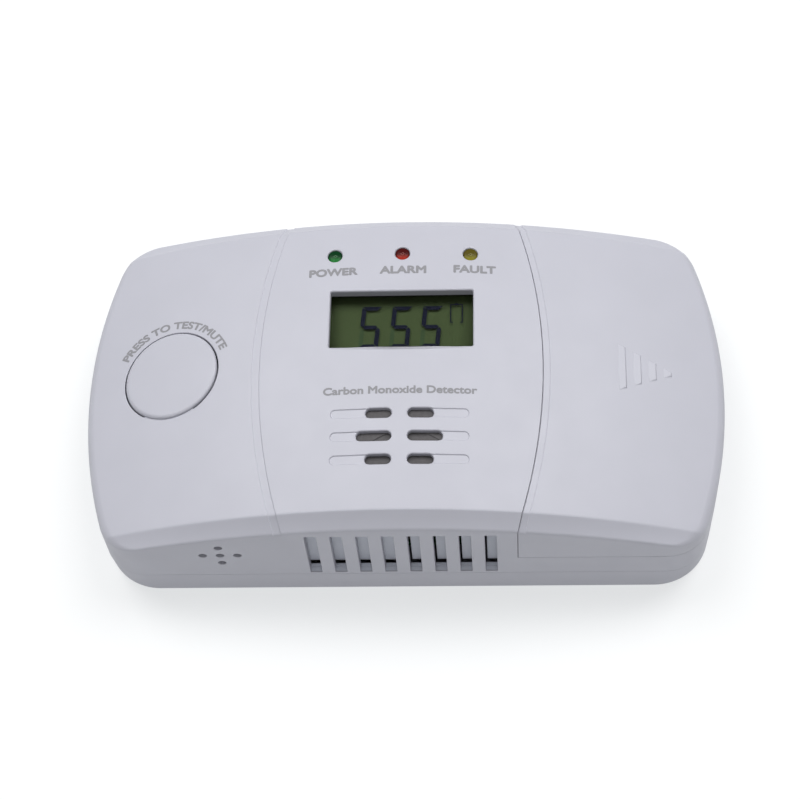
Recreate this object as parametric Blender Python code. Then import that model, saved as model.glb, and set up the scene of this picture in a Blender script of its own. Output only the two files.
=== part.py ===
"""Carbon monoxide detector: a wall alarm with a domed front cover, side battery bay and sliding door.

Metres. The back lies on z = 0, +Z points out of the face, +Y is the top edge and +X is the battery side.
Every sub-part is one closed object; tools for the Boolean modifiers are hidden wire objects.
"""

from math import atan2, cos, pi, radians, sin, sqrt

import bmesh
import bpy
from mathutils import Matrix, Vector
from mathutils.geometry import delaunay_2d_cdt

MM = 0.001
GAP = 0.3 * MM  # between neighbouring pieces

# ---- casing: driving dimensions ------------------------------------------------------------------
HALF_WIDTH = 65.8 * MM
HALF_HEIGHT = 35.7 * MM
DEPTH = 33.5 * MM
SIDE_RADIUS = 98 * MM  # plan radius of the bowed left and right sides
CORNER_RADIUS = 8.9 * MM
BACK_CORNER_RADIUS = 11.5 * MM
FACE_BOW_X = 3.456  # face height falls by this times x squared, in 1/m
FACE_BOW_Y = 2.005
WALL_TOP = 28.26 * MM  # where the wall meets the chamfer at mid-width
WALL_TOP_BOW = 3.006
CHAMFER = 3.11 * MM
WALL = 2.0 * MM
PARTING = 7.5 * MM
DOOR_RIM = 15.0 * MM  # lower edge of the battery door's walls
SEAM_X = 28.6 * MM
SEAM_RADIUS = 119 * MM
GROOVE_WIDTH = 1.55 * MM
GROOVE_DEPTH = 0.4 * MM
DIAGONAL = sqrt(2.0)

# ---- features of the face and the bottom wall ----------------------------------------------------
LED_PITCH = 14.0 * MM
LED_Y = 25.45 * MM
LED_RADIUS = 1.5 * MM
LED_HEIGHT = 5.3 * MM
WINDOW_HALF = 14.585 * MM
WINDOW_Y = (2.99 * MM, 16.42 * MM)
SLOT_TOP = -11.19 * MM
SLOT_PITCH = 4.944 * MM
SLOT_HEIGHT = 2.12 * MM
SLOT_INNER = 1.57 * MM
SLOT_OUTER = (6.8 * MM, 8.6 * MM, 6.8 * MM)
SLOT_FIELD = (-15.3 * MM, -25.2 * MM, 15.3 * MM, -8.8 * MM)
SLOT_SKIN = 1.1 * MM
SCREEN_THICKNESS = 0.5 * MM
RECESS_OUTER = 13.9 * MM
RECESS_DEPTH = 0.25 * MM
VENT_COUNT = 8
VENT_PITCH = 5.08 * MM
VENT_WIDTH = 2.4 * MM
VENT_Z = (8.42 * MM, 25.37 * MM)
SENSOR_HOLES = (-36.5 * MM, 16.9 * MM, 3.5 * MM, 0.85 * MM)  # x, z, pitch, radius

# ---- test button ---------------------------------------------------------------------------------
BUTTON_X = -47.47 * MM
BUTTON_Y = 0.83 * MM
BUTTON_RADIUS = 9.75 * MM
BUTTON_HOLE = 10.1 * MM
BUTTON_RISE = 0.4 * MM
BUTTON_SKIN = 2.0 * MM
HINGE_Y = -7.6 * MM
SWITCH_Y = 4.4 * MM

# ---- battery bay ---------------------------------------------------------------------------------
BAY_FLOOR = 4.0 * MM
BAY_SKIN = 1.2 * MM
BAY_WALL = 1.5 * MM
BAY_INSET = WALL + 0.35 * MM
BAY_CORNER = 12 * MM
BAY_HALF_OUTER = 29.8 * MM
BAY_HALF_INNER = 28.3 * MM
SHELF = (12.7 * MM, 14.4 * MM)
CELL_RADIUS = 7.25 * MM
CELL_LENGTH = 50.5 * MM
CELL_NUB = (2.7 * MM, 1.2 * MM)
CELL_X = (36.1 * MM, 50.9 * MM)
CELL_Z = BAY_FLOOR + BAY_SKIN + GAP + CELL_RADIUS
CELL_TIP = 26.5 * MM
SPRING_RADIUS = 3.4 * MM
SPRING_WIRE = 0.3 * MM
SPRING_TURNS = 2.25
RAIL_X = (27.5 * MM, 44 * MM)

# ---- thumb bars on the door ----------------------------------------------------------------------
BAR_COUNT = 4
BAR_X = 43.9 * MM
BAR_Y = 1.0 * MM
BAR_PITCH = 3.1 * MM
BAR_WIDTH = 1.45 * MM
BAR_HALF = 5.3 * MM
BAR_TAPER = 0.45  # half length lost per length along X
BAR_RISE = 0.45 * MM

# ---- electronics ---------------------------------------------------------------------------------
BOARD_Z = 10.0 * MM
BOARD_THICKNESS = 1.6 * MM
BOARD_TOP = BOARD_Z + BOARD_THICKNESS
ON_BOARD = BOARD_TOP + GAP
GLASS_TOP = 28.8 * MM
GLASS_THICKNESS = 2.2 * MM
LCD_Y = 9.7 * MM
LCD_HALF = (18.5 * MM, 9.5 * MM)
SOUNDER_Y = -17.2 * MM
SOUNDER_RADIUS = 13 * MM
SOUNDER_TOP = 20.6 * MM
SENSOR_XY = (-34 * MM, -18 * MM)
SENSOR_RADIUS = 9 * MM
SENSOR_TOP = 24.2 * MM
SCREW_BOSSES = {
    "case_screw_1": (-54.5 * MM, 26 * MM, 3.0 * MM),
    "case_screw_2": (-54.5 * MM, -26 * MM, 3.0 * MM),
    "case_screw_3": (19.2 * MM, 29 * MM, 2.6 * MM),
    "case_screw_4": (19.2 * MM, -28 * MM, 2.6 * MM),
}
BOARD_POSTS = {
    "board_screw_1": (-48 * MM, -25 * MM, 2.5 * MM),
    "board_screw_2": (-33 * MM, 27 * MM, 2.5 * MM),
}
KEYHOLES = (-40 * MM, 40 * MM)
KEYHOLE_Y = 8 * MM
KEYHOLE_RADIUS = 3.75 * MM
KEYHOLE_SLOT = (1.9 * MM, 9 * MM)


# ---- scene and materials -------------------------------------------------------------------------
def clear_scene():
    for item in list(bpy.data.objects):
        bpy.data.objects.remove(item, do_unlink=True)


def material(name, colour, roughness, metallic=0.0, alpha=1.0):
    made = bpy.data.materials.get(name) or bpy.data.materials.new(name)
    made.use_nodes = True
    shader = made.node_tree.nodes["Principled BSDF"]
    shader.inputs["Base Color"].default_value = (*colour, 1.0)
    shader.inputs["Roughness"].default_value = roughness
    shader.inputs["Metallic"].default_value = metallic
    shader.inputs["Alpha"].default_value = alpha
    made.diffuse_color = (*colour, alpha)
    return made


def white_plastic():
    return material("white_plastic", (0.80, 0.80, 0.84), 0.5)


def dark_plastic():
    return material("dark_plastic", (0.05, 0.05, 0.055), 0.5)


def grey_plastic():
    return material("grey_plastic", (0.16, 0.15, 0.15), 0.55)


def steel():
    return material("steel", (0.62, 0.62, 0.62), 0.3, 1.0)


def felt():
    return material("felt", (0.45, 0.45, 0.44), 0.9)


# ---- mesh helpers --------------------------------------------------------------------------------
def add_object(name, bm, look):
    bmesh.ops.recalc_face_normals(bm, faces=bm.faces)
    mesh = bpy.data.meshes.new(name)
    bm.to_mesh(mesh)
    bm.free()
    made = bpy.data.objects.new(name, mesh)
    bpy.context.collection.objects.link(made)
    if look:
        mesh.materials.append(look)
    return made


def as_tool(item):
    item.hide_render = True
    item.display_type = "WIRE"
    return item


def boolean(target, tool, operation):
    step = target.modifiers.new(tool.name, "BOOLEAN")
    step.operation = operation
    step.solver = "EXACT"
    step.object = as_tool(tool)


def cut(target, *tools):
    for tool in tools:
        boolean(target, tool, "DIFFERENCE")


def join(target, *tools):
    for tool in tools:
        boolean(target, tool, "UNION")


def keep_common(target, *tools):
    for tool in tools:
        boolean(target, tool, "INTERSECT")


def add_prism(bm, points, low, high):
    """A plan polygon drawn up from low to high."""
    bottom = [bm.verts.new((x, y, low)) for x, y in points]
    face = bm.faces.new(bottom)
    drawn = bmesh.ops.extrude_face_region(bm, geom=[face])
    top = [v for v in drawn["geom"] if isinstance(v, bmesh.types.BMVert)]
    bmesh.ops.translate(bm, verts=top, vec=(0, 0, high - low))


def prism(name, points, low, high, look=None):
    bm = bmesh.new()
    add_prism(bm, points, low, high)
    return add_object(name, bm, look)


def boxes(name, corner_pairs, look=None):
    """One mesh of separate boxes, each given by two opposite corners."""
    bm = bmesh.new()
    for (x0, y0, z0), (x1, y1, z1) in corner_pairs:
        add_prism(bm, [(x0, y0), (x1, y0), (x1, y1), (x0, y1)], z0, z1)
    return add_object(name, bm, look)


def circle_points(x, y, radius, steps=24):
    turns = [2 * pi * k / steps for k in range(steps)]
    return [(x + radius * cos(a), y + radius * sin(a)) for a in turns]


def stadium_points(x0, x1, y, half, steps=6):
    """A rounded slot from x0 to x1, half wide on each side of y."""
    right = [(-pi / 2 + pi * k / steps) for k in range(steps + 1)]
    ends = [(x1 - half + half * cos(a), y + half * sin(a)) for a in right]
    return ends + [(x0 + half - half * cos(a), y - half * sin(a)) for a in right]


def turned(name, profile, centre, look=None, steps=24):
    """A solid of revolution about Z: profile is (radius, z) from the bottom axis point to the top one."""
    bm = bmesh.new()
    rings = []
    for radius, z in profile:
        ring = [(radius * cos(2 * pi * k / steps), radius * sin(2 * pi * k / steps), z) for k in range(steps)]
        rings.append([bm.verts.new(p) for p in ring])
    for low, high in zip(rings, rings[1:]):
        for k in range(steps):
            bm.faces.new((low[k], low[(k + 1) % steps], high[(k + 1) % steps], high[k]))
    bm.faces.new(rings[0][::-1])
    bm.faces.new(rings[-1])
    made = add_object(name, bm, look)
    made.location = (centre[0], centre[1], 0)
    made.data.shade_smooth()
    made.data.set_sharp_from_angle(angle=radians(40))
    return made


def cylinder(name, centre, radius, low, high, look=None, steps=24):
    return turned(name, [(radius, low), (radius, high)], centre, look, steps)


# ---- casing form ---------------------------------------------------------------------------------
def face_height(x, y):
    return DEPTH - FACE_BOW_X * x * x - FACE_BOW_Y * y * y


def wall_height(x):
    return WALL_TOP - WALL_TOP_BOW * x * x


def outline(inset, corner=CORNER_RADIUS, arc_steps=5, side_steps=8, wall_steps=16):
    """The casing's plan, inset all round: bowed sides, round corners and straight top and bottom walls."""
    radius = max(corner - inset, 0.5 * MM)
    side = SIDE_RADIUS - inset
    side_centre = HALF_WIDTH - SIDE_RADIUS
    corner_y = HALF_HEIGHT - inset - radius
    reach = sqrt((side - radius) ** 2 - corner_y**2)
    corner_x = side_centre + reach
    first = atan2(corner_y, reach)
    turn = [-first + 2 * first * k / side_steps for k in range(side_steps)]
    right = [(side_centre + side * cos(a), side * sin(a)) for a in turn]
    turn = [first + (pi / 2 - first) * k / arc_steps for k in range(arc_steps)]
    upper = [(corner_x + radius * cos(a), corner_y + radius * sin(a)) for a in turn]
    wall = [(corner_x * (1 - 2 * k / wall_steps), HALF_HEIGHT - inset) for k in range(wall_steps)]
    quarter = right[side_steps // 2:] + upper
    half = quarter + wall + [(-corner_x, HALF_HEIGHT - inset)] + [(-x, y) for x, y in reversed(quarter[1:])]
    return half + [(-x, -y) for x, y in half]


def cap_points(limit, step=8 * MM):
    """A grid of plan points that stay inside the outline by at least half a step."""
    keep = outline(limit + step / 2)
    across = [Vector((x * step, y * step)) for x in range(-8, 9) for y in range(-4, 5)]
    return [p for p in across if inside(p, keep)]


def inside(point, ring):
    pairs = zip(ring, ring[1:] + ring[:1])
    return all((b[0] - a[0]) * (point.y - a[1]) - (b[1] - a[1]) * (point.x - a[0]) > 0 for a, b in pairs)


def casing_form(name, inset, drop, floor, corner=CORNER_RADIUS, look=None):
    """The space within the casing's outer skin moved inward: inset at the walls, drop under the face."""
    bm = bmesh.new()
    shoulder = max(CHAMFER + drop * (DIAGONAL - 1), inset + 0.5 * MM)
    wall_ring, top_ring = outline(inset, corner), outline(shoulder, max(corner, CORNER_RADIUS))
    edge = inset - drop * DIAGONAL
    rings = [
        [bm.verts.new((x, y, floor)) for x, y in wall_ring],
        [bm.verts.new((x, y, wall_height(x) + edge)) for x, y in wall_ring],
        [bm.verts.new((x, y, face_height(x, y) - drop)) for x, y in top_ring],
    ]
    count = len(wall_ring)
    for low, high in zip(rings, rings[1:]):
        for k in range(count):
            bm.faces.new((low[k], low[(k + 1) % count], high[(k + 1) % count], high[k]))
    bm.faces.new(rings[0][::-1])
    plan = [Vector(p) for p in top_ring] + cap_points(shoulder)
    points, _, faces, *_ = delaunay_2d_cdt(plan, [], [list(range(count))], 1, 1e-7)
    inner = [bm.verts.new((p.x, p.y, face_height(p.x, p.y) - drop)) for p in points[count:]]
    cap = rings[2] + inner
    for face in faces:
        bm.faces.new([cap[k] for k in face])
    return add_object(name, bm, look)


def seam(y, offset=0.0):
    """The curved line between the middle panel and the battery door."""
    return SEAM_X + offset - SEAM_RADIUS + sqrt(SEAM_RADIUS**2 - y * y)


def seam_band(name, start, end, low, high, side=1):
    """A wall-shaped region that follows the seam, from start to end outward of it."""
    ys = [(-40 + 5 * k) * MM for k in range(17)]
    inner = [(side * seam(y, start), y) for y in ys]
    outer = [(side * seam(y, end), y) for y in reversed(ys)]
    return prism(name, inner + outer, low, high)


def battery_side(name, offset, low, high):
    """Everything on the battery side of the seam."""
    ys = [(-40 + 5 * k) * MM for k in range(17)]
    edge = [(seam(y, offset), y) for y in reversed(ys)]
    return prism(name, [(80 * MM, -40 * MM), (80 * MM, 40 * MM)] + edge, low, high)


# ---- front cover ---------------------------------------------------------------------------------
def groove_tool(side):
    band = seam_band(f"tool_groove_{side}", 0, GROOVE_WIDTH, wall_height(seam(HALF_HEIGHT)), 40 * MM, side)
    cut(band, casing_form(f"tool_groove_form_{side}", GROOVE_DEPTH, GROOVE_DEPTH, 0))
    return band


def slot_tools():
    """The through slots, and the shallow channels that run outward from them."""
    through, channel = bmesh.new(), bmesh.new()
    half = SLOT_HEIGHT / 2
    for row, outer in enumerate(SLOT_OUTER):
        y = SLOT_TOP - half - row * SLOT_PITCH
        for side in (-1, 1):
            slot = [(side * a, b) for a, b in stadium_points(SLOT_INNER, outer, y, half)]
            add_prism(through, slot, 20 * MM, 40 * MM)
            slot = [(side * a, b) for a, b in stadium_points(SLOT_INNER - 0.02 * MM, RECESS_OUTER, y, half + 0.02 * MM)]
            add_prism(channel, slot, 25 * MM, 40 * MM)
    channels = add_object("tool_channels", channel, None)
    cut(channels, casing_form("tool_channel_floor", 1 * MM, RECESS_DEPTH, 0))
    return channels, add_object("tool_slots", through, None)


def led_positions():
    return {name: (k * LED_PITCH, LED_Y) for name, k in (("power", -1), ("alarm", 0), ("fault", 1))}


def led_top(x):
    return face_height(x, LED_Y) - 0.4 * MM


def led_hole_tools():
    clear, mouth = LED_RADIUS + 0.33 * MM, LED_RADIUS + 0.6 * MM
    for name, (x, y) in led_positions().items():
        top = face_height(x, y)
        profile = [(clear, 20 * MM), (clear, top - 0.6 * MM), (mouth, top), (mouth, 40 * MM)]
        yield turned(f"tool_led_hole_{name}", profile, (x, y))


def vent_tool():
    first = -(VENT_COUNT - 1) / 2 * VENT_PITCH - VENT_WIDTH / 2
    starts = [first + k * VENT_PITCH for k in range(VENT_COUNT)]
    low, high = VENT_Z
    depth = (-HALF_HEIGHT - 1 * MM, -HALF_HEIGHT + WALL + 0.5 * MM)
    return boxes("tool_vents", [((x, depth[0], low), (x + VENT_WIDTH, depth[1], high)) for x in starts])


def sensor_hole_tool():
    x0, z0, pitch, radius = SENSOR_HOLES
    bm = bmesh.new()
    for dx, dz in ((0, 0), (1, 0), (-1, 0), (0, 1), (0, -1)):
        add_prism(bm, circle_points(x0 + dx * pitch, z0 + dz * pitch, radius, 12), -4 * MM, 4 * MM)
    bm.transform(Matrix.Translation((0, -HALF_HEIGHT, 0)) @ Matrix.Rotation(pi / 2, 4, "X"))
    return add_object("tool_sensor_holes", bm, None)


def window_tool():
    low, high = WINDOW_Y
    return boxes("tool_window", [((-WINDOW_HALF, low, 20 * MM), (WINDOW_HALF, high, 40 * MM))])


def boss_tools():
    """Screw bosses and board posts that hang from the face, and the pilot holes in them."""
    solids, pilots = bmesh.new(), bmesh.new()
    for x, y, radius in SCREW_BOSSES.values():
        add_prism(solids, circle_points(x, y, radius, 16), 5.3 * MM, 40 * MM)
        add_prism(pilots, circle_points(x, y, 1.5 * MM, 10), 4 * MM, 15 * MM)
    for x, y, radius in BOARD_POSTS.values():
        add_prism(solids, circle_points(x, y, radius, 16), ON_BOARD, 40 * MM)
        add_prism(pilots, circle_points(x, y, 1.3 * MM, 10), 10 * MM, 18 * MM)
    bosses = add_object("tool_bosses", solids, None)
    keep_common(bosses, casing_form("tool_boss_form", 1.1 * MM, 1.1 * MM, 1 * MM))
    return bosses, add_object("tool_pilots", pilots, None)


def front_cover():
    cover = casing_form("front_cover", 0, 0, PARTING + 0.1 * MM, look=white_plastic())
    cut(cover, casing_form("tool_front_void", WALL, WALL, 0))
    cut(cover, battery_side("tool_door_place", -GAP / 2, DOOR_RIM - GAP, 45 * MM))
    bosses, pilots = boss_tools()
    join(cover, bosses)
    cut(cover, pilots, groove_tool(-1), window_tool(), *slot_tools(), *led_hole_tools())
    cut(cover, cylinder("tool_button_hole", (BUTTON_X, BUTTON_Y), BUTTON_HOLE, 15 * MM, 40 * MM, steps=40))
    cut(cover, vent_tool(), sensor_hole_tool(), slot_field("tool_thin_field", SLOT_SKIN, 0))


def slot_field(name, drop, margin, look=None):
    """The space behind the sound slots that lies more than drop under the face."""
    x0, y0, x1, y1 = SLOT_FIELD
    field = casing_form(name, WALL, drop, 15 * MM, look=look)
    corners = ((x0 + margin, y0 + margin, 0), (x1 - margin, y1 - margin, 45 * MM))
    keep_common(field, boxes(name + "_limits", [corners]))
    return field


def sound_screen():
    """A domed felt sheet close behind the slots."""
    screen = slot_field("sound_screen", SLOT_SKIN + GAP, 0.7 * MM, felt())
    cut(screen, casing_form("tool_screen_back", 1 * MM, SLOT_SKIN + GAP + SCREEN_THICKNESS, 0))


# ---- battery door --------------------------------------------------------------------------------
def thumb_bars():
    """Four raised bars that shorten towards the sliding direction."""
    bm = bmesh.new()
    for k in range(BAR_COUNT):
        x = BAR_X + k * BAR_PITCH
        left, right = [BAR_HALF - BAR_TAPER * (k * BAR_PITCH + w) for w in (0, BAR_WIDTH)]
        corners = [(x, BAR_Y - left), (x + BAR_WIDTH, BAR_Y - right),
                   (x + BAR_WIDTH, BAR_Y + right), (x, BAR_Y + left)]
        add_prism(bm, corners, 10 * MM, 40 * MM)
    bars = add_object("tool_bars", bm, None)
    keep_common(bars, casing_form("tool_bar_form", 1 * MM, -BAR_RISE, 0))
    cut(bars, casing_form("tool_bar_root", 1 * MM, 1.0 * MM, -1 * MM))
    return bars


def door_rib_tool():
    ribs = [((28 * MM, s * 32.75 * MM, 17.05 * MM), (43 * MM, s * 34.2 * MM, 17.85 * MM)) for s in (-1, 1)]
    return boxes("tool_door_ribs", ribs)


def battery_door():
    door = casing_form("battery_door", 0, 0, 1 * MM, look=white_plastic())
    cut(door, casing_form("tool_door_void", WALL, WALL, 0))
    keep_common(door, battery_side("tool_door_side", GAP / 2, DOOR_RIM, 45 * MM))
    cut(door, groove_tool(1))
    join(door, thumb_bars(), door_rib_tool())


# ---- battery tray --------------------------------------------------------------------------------
def tray_rails():
    """Upright rails on the shelf, each with a groove for a rib of the door."""
    low, high, x0, x1 = SHELF[1] - 0.5 * MM, 19.6 * MM, *RAIL_X
    rails = boxes("tool_rails", [((x0, s * 31.6 * MM, low), (x1, s * 33.3 * MM, high)) for s in (-1, 1)])
    grooves = [((x0 - 1 * MM, s * 32.4 * MM, 16.7 * MM), (x1 + 1 * MM, s * 34 * MM, 18.2 * MM)) for s in (-1, 1)]
    cut(rails, boxes("tool_rail_grooves", grooves))
    return rails


def battery_tray():
    """A deep pocket for the two cells, hung from a shelf that fills the bay's plan under the door's rim."""
    tray = casing_form("battery_tray", BAY_INSET, BAY_INSET, BAY_FLOOR, BAY_CORNER, white_plastic())
    ends = ((0, -BAY_HALF_OUTER, 0), (80 * MM, BAY_HALF_OUTER, 40 * MM))
    keep_common(tray, battery_side("tool_tray_side", -BAY_WALL, 0, 40 * MM), boxes("tool_tray_ends", [ends]))
    shelf = prism("tool_shelf", outline(BAY_INSET + 0.1 * MM, BAY_CORNER), *SHELF)
    keep_common(shelf, battery_side("tool_shelf_side", -BAY_SKIN, 0, 40 * MM))
    join(tray, shelf, tray_rails())
    pocket = prism("tool_pocket", outline(BAY_INSET + BAY_WALL, BAY_CORNER), BAY_FLOOR + BAY_SKIN, 40 * MM)
    region = battery_side("tool_pocket_side", 0, 0, 45 * MM)
    ends = ((0, -BAY_HALF_INNER, 0), (80 * MM, BAY_HALF_INNER, 45 * MM))
    keep_common(pocket, region, boxes("tool_pocket_ends", [ends]))
    cut(tray, pocket)


# ---- rear cover ----------------------------------------------------------------------------------
def rear_form(name, levels, look=None):
    """A dish lofted through levels of (z, inset, corner radius)."""
    bm = bmesh.new()
    rings = [[bm.verts.new((x, y, z)) for x, y in outline(inset, corner)] for z, inset, corner in levels]
    count = len(rings[0])
    for low, high in zip(rings, rings[1:]):
        for k in range(count):
            bm.faces.new((low[k], low[(k + 1) % count], high[(k + 1) % count], high[k]))
    bm.faces.new(rings[0][::-1])
    bm.faces.new(rings[-1])
    return add_object(name, bm, look)


def rear_lip():
    """The upstanding lip that locates the front cover, left of the battery bay."""
    lip = prism("tool_lip", outline(BAY_INSET), 5.2 * MM, 8.6 * MM)
    join(lip, prism("tool_lip_root", outline(1.5 * MM), 4.6 * MM, PARTING - 0.1 * MM))
    cut(lip, prism("tool_lip_inner", outline(BAY_INSET + 1.1 * MM), 0, 10 * MM))
    keep_common(lip, boxes("tool_lip_span", [((-80 * MM, -40 * MM, 0), (21 * MM, 40 * MM, 10 * MM))]))
    return lip


def rear_pads():
    bm = bmesh.new()
    for x, y, _ in SCREW_BOSSES.values():
        add_prism(bm, circle_points(x, y, 3.1 * MM, 16), 1 * MM, 5.0 * MM)
    return add_object("tool_pads", bm, None)


def rear_hole_tools():
    shafts, heads = bmesh.new(), bmesh.new()
    for x, y, _ in SCREW_BOSSES.values():
        add_prism(shafts, circle_points(x, y, 1.6 * MM, 12), -1 * MM, 6 * MM)
        add_prism(heads, circle_points(x, y, 2.75 * MM, 16), -1 * MM, 2.6 * MM)
    return add_object("tool_shaft_holes", shafts, None), add_object("tool_head_holes", heads, None)


def keyhole_tool():
    """A round hole with a narrower slot above it, where the wall screw's head slides in."""
    bm = bmesh.new()
    half, reach = KEYHOLE_SLOT
    bend = atan2(half, sqrt(KEYHOLE_RADIUS**2 - half**2))
    for x in KEYHOLES:
        sweep = [pi / 2 + bend + (2 * pi - 2 * bend) * k / 20 for k in range(21)]
        ring = [(x + KEYHOLE_RADIUS * cos(a), KEYHOLE_Y + KEYHOLE_RADIUS * sin(a)) for a in sweep]
        tip = [(x + half * cos(pi * k / 6), KEYHOLE_Y + reach + half * sin(pi * k / 6)) for k in range(7)]
        add_prism(bm, ring + tip, -1 * MM, 3.4 * MM)
    return add_object("tool_keyholes", bm, None)


def rear_cover():
    levels = [(0, 0.8 * MM, BACK_CORNER_RADIUS), (0.8 * MM, 0.1 * MM, BACK_CORNER_RADIUS),
              (PARTING - 0.2 * MM, 0.05 * MM, CORNER_RADIUS)]
    cover = rear_form("rear_cover", levels, white_plastic())
    void = [(2 * MM, WALL, BACK_CORNER_RADIUS), (9 * MM, WALL, BACK_CORNER_RADIUS - 1 * MM)]
    cut(cover, rear_form("tool_rear_void", void))
    join(cover, rear_lip(), rear_pads())
    cut(cover, *rear_hole_tools(), keyhole_tool())


# ---- test button and its switch ------------------------------------------------------------------
def hinge_axis():
    """Unit vector along the button's hinge, tangent to the face, signed so that pressing turns positive."""
    slope = -2 * FACE_BOW_X * BUTTON_X
    return Vector((-1, 0, -slope)).normalized()


def test_button():
    """A disc of the face's own curve, a little proud of it, with a post down to the switch."""
    button = casing_form("test_button", 5 * MM, -BUTTON_RISE, 12 * MM, look=white_plastic())
    cut(button, casing_form("tool_button_under", 4 * MM, BUTTON_SKIN - BUTTON_RISE, 0))
    post = cylinder("tool_button_post", (BUTTON_X, SWITCH_Y), 2 * MM, 17.4 * MM, 24.6 * MM, steps=16)
    disc = cylinder("tool_button_disc", (BUTTON_X, BUTTON_Y), BUTTON_RADIUS, 13 * MM, 40 * MM, steps=40)
    keep_common(button, disc)
    join(button, post)
    pivot = Vector((BUTTON_X, HINGE_Y, face_height(BUTTON_X, HINGE_Y)))
    button.data.transform(Matrix.Translation(-pivot))
    button.location = pivot
    return button


def button_hinge_web():
    """The thin strip moulded under the gap, which bends as the button is pressed."""
    low = WALL + GAP
    web = casing_form("button_hinge_web", 4 * MM, low, 12 * MM, look=white_plastic())
    cut(web, casing_form("tool_web_under", 3 * MM, low + 0.6 * MM, 0))
    keep_common(web, boxes("tool_web_span", [((BUTTON_X - 5 * MM, -12.4 * MM, 0), (BUTTON_X + 5 * MM, -5.6 * MM, 40 * MM))]))


def test_switch():
    half = 3 * MM
    x, y = BUTTON_X, SWITCH_Y
    body = boxes("test_switch_body", [((x - half, y - half, ON_BOARD), (x + half, y + half, 15.4 * MM))], dark_plastic())
    cut(body, cylinder("tool_plunger_hole", (x, y), 2.0 * MM, 14.0 * MM, 20 * MM, steps=16))
    cylinder("test_switch_plunger", (x, y), 1.7 * MM, 15.0 * MM, 17.0 * MM, dark_plastic(), 16)


# ---- display -------------------------------------------------------------------------------------
def display():
    across, up = LCD_HALF
    low = GLASS_TOP - GLASS_THICKNESS
    glass = material("lcd_glass", (0.08, 0.10, 0.05), 0.15)
    boxes("lcd_glass", [((-across, LCD_Y - up, low), (across, LCD_Y + up, GLASS_TOP))], glass)
    film = material("lcd_film", (0.35, 0.38, 0.30), 0.4)
    boxes("lcd_reflector", [((-across, LCD_Y - up, low - 0.7 * MM), (across, LCD_Y + up, low - GAP))], film)
    rim = 1.5 * MM
    x0, y0 = across + GAP, up + GAP
    outer = ((-x0 - rim, LCD_Y - y0 - rim, ON_BOARD), (x0 + rim, LCD_Y + y0 + rim, GLASS_TOP - 0.2 * MM))
    holder = boxes("lcd_holder", [outer], dark_plastic())
    cut(holder, boxes("tool_holder_inner", [((-x0, LCD_Y - y0, 0), (x0, LCD_Y + y0, 40 * MM))]))
    ribs = [((s * 10.2 * MM - 0.6 * MM, LCD_Y - y0 - 0.7 * MM, 23.8 * MM),
             (s * 10.2 * MM + 0.6 * MM, LCD_Y + y0 + 0.7 * MM, low - 1.0 * MM)) for s in (-1, 1)]
    join(holder, boxes("tool_holder_ribs", ribs))
    for name, side in (("lcd_pins_upper", 1), ("lcd_pins_lower", -1)):
        pin_row(name, LCD_Y + side * (up - 0.9 * MM), low - 1.0 * MM)


def pin_row(name, y, top):
    """Eight display pins on one carrier strip."""
    row = boxes(name, [((-9.3 * MM, y - 0.4 * MM, top - 0.7 * MM), (9.3 * MM, y + 0.4 * MM, top))], steel())
    pins = [(k - 3.5) * 2.54 * MM for k in range(8)]
    half = 0.25 * MM
    legs = boxes(f"tool_{name}", [((x - half, y - half, ON_BOARD), (x + half, y + half, top - 0.3 * MM)) for x in pins])
    join(row, legs)


# ---- indicator lamps -----------------------------------------------------------------------------
LED_COLOURS = {"power": (0.01, 0.16, 0.03), "alarm": (0.35, 0.02, 0.01), "fault": (0.25, 0.22, 0.01)}


def led(name, x, y):
    top = led_top(x)
    base = top - LED_HEIGHT
    flange = LED_RADIUS + 0.4 * MM
    spring_line = top - LED_RADIUS
    dome = [(LED_RADIUS * cos(pi * k / 10), spring_line + LED_RADIUS * sin(pi * k / 10)) for k in range(1, 5)]
    profile = [(flange, base), (flange, base + 1 * MM), (LED_RADIUS, base + 1 * MM), (LED_RADIUS, spring_line)]
    look = material(f"led_{name}", LED_COLOURS[name], 0.1)
    turned(f"{name}_led", profile + dome + [(0.1 * MM, top)], (x, y), look, 20)
    half = 2.2 * MM
    boxes(f"{name}_led_spacer", [((x - half, y - half, ON_BOARD), (x + half, y + half, base - GAP))], dark_plastic())


# ---- circuit board and what stands on it ---------------------------------------------------------
def main_board():
    half = 30.5 * MM
    notch = 16.3 * MM
    points = [(-51 * MM, -half), (notch, -half), (notch, -25 * MM), (22 * MM, -25 * MM),
              (22 * MM, 26 * MM), (notch, 26 * MM), (notch, half), (-51 * MM, half)]
    look = material("board_green", (0.02, 0.16, 0.06), 0.45)
    board = prism("main_board", points, BOARD_Z, BOARD_TOP, look)
    bm = bmesh.new()
    for x, y, _ in BOARD_POSTS.values():
        add_prism(bm, circle_points(x, y, 1.3 * MM, 12), 8 * MM, 13 * MM)
    cut(board, add_object("tool_board_holes", bm, None))


def chip(name, x, y, wide, deep, tall):
    look = material("chip_black", (0.02, 0.02, 0.022), 0.6)
    chip_box = ((x - wide / 2, y - deep / 2, ON_BOARD), (x + wide / 2, y + deep / 2, ON_BOARD + tall))
    return boxes(name, [chip_box], look)


def can(name, centre, radius, tall, look):
    """An upright can with a crimped neck and a bevelled top."""
    low, high = ON_BOARD, ON_BOARD + tall
    edge = 0.4 * MM
    profile = [(radius, low), (radius, low + 1 * MM), (radius - 0.25 * MM, low + 1.4 * MM), (radius, low + 1.8 * MM),
               (radius, high - edge), (radius - edge, high)]
    return turned(name, profile, centre, look, 20)


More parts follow.
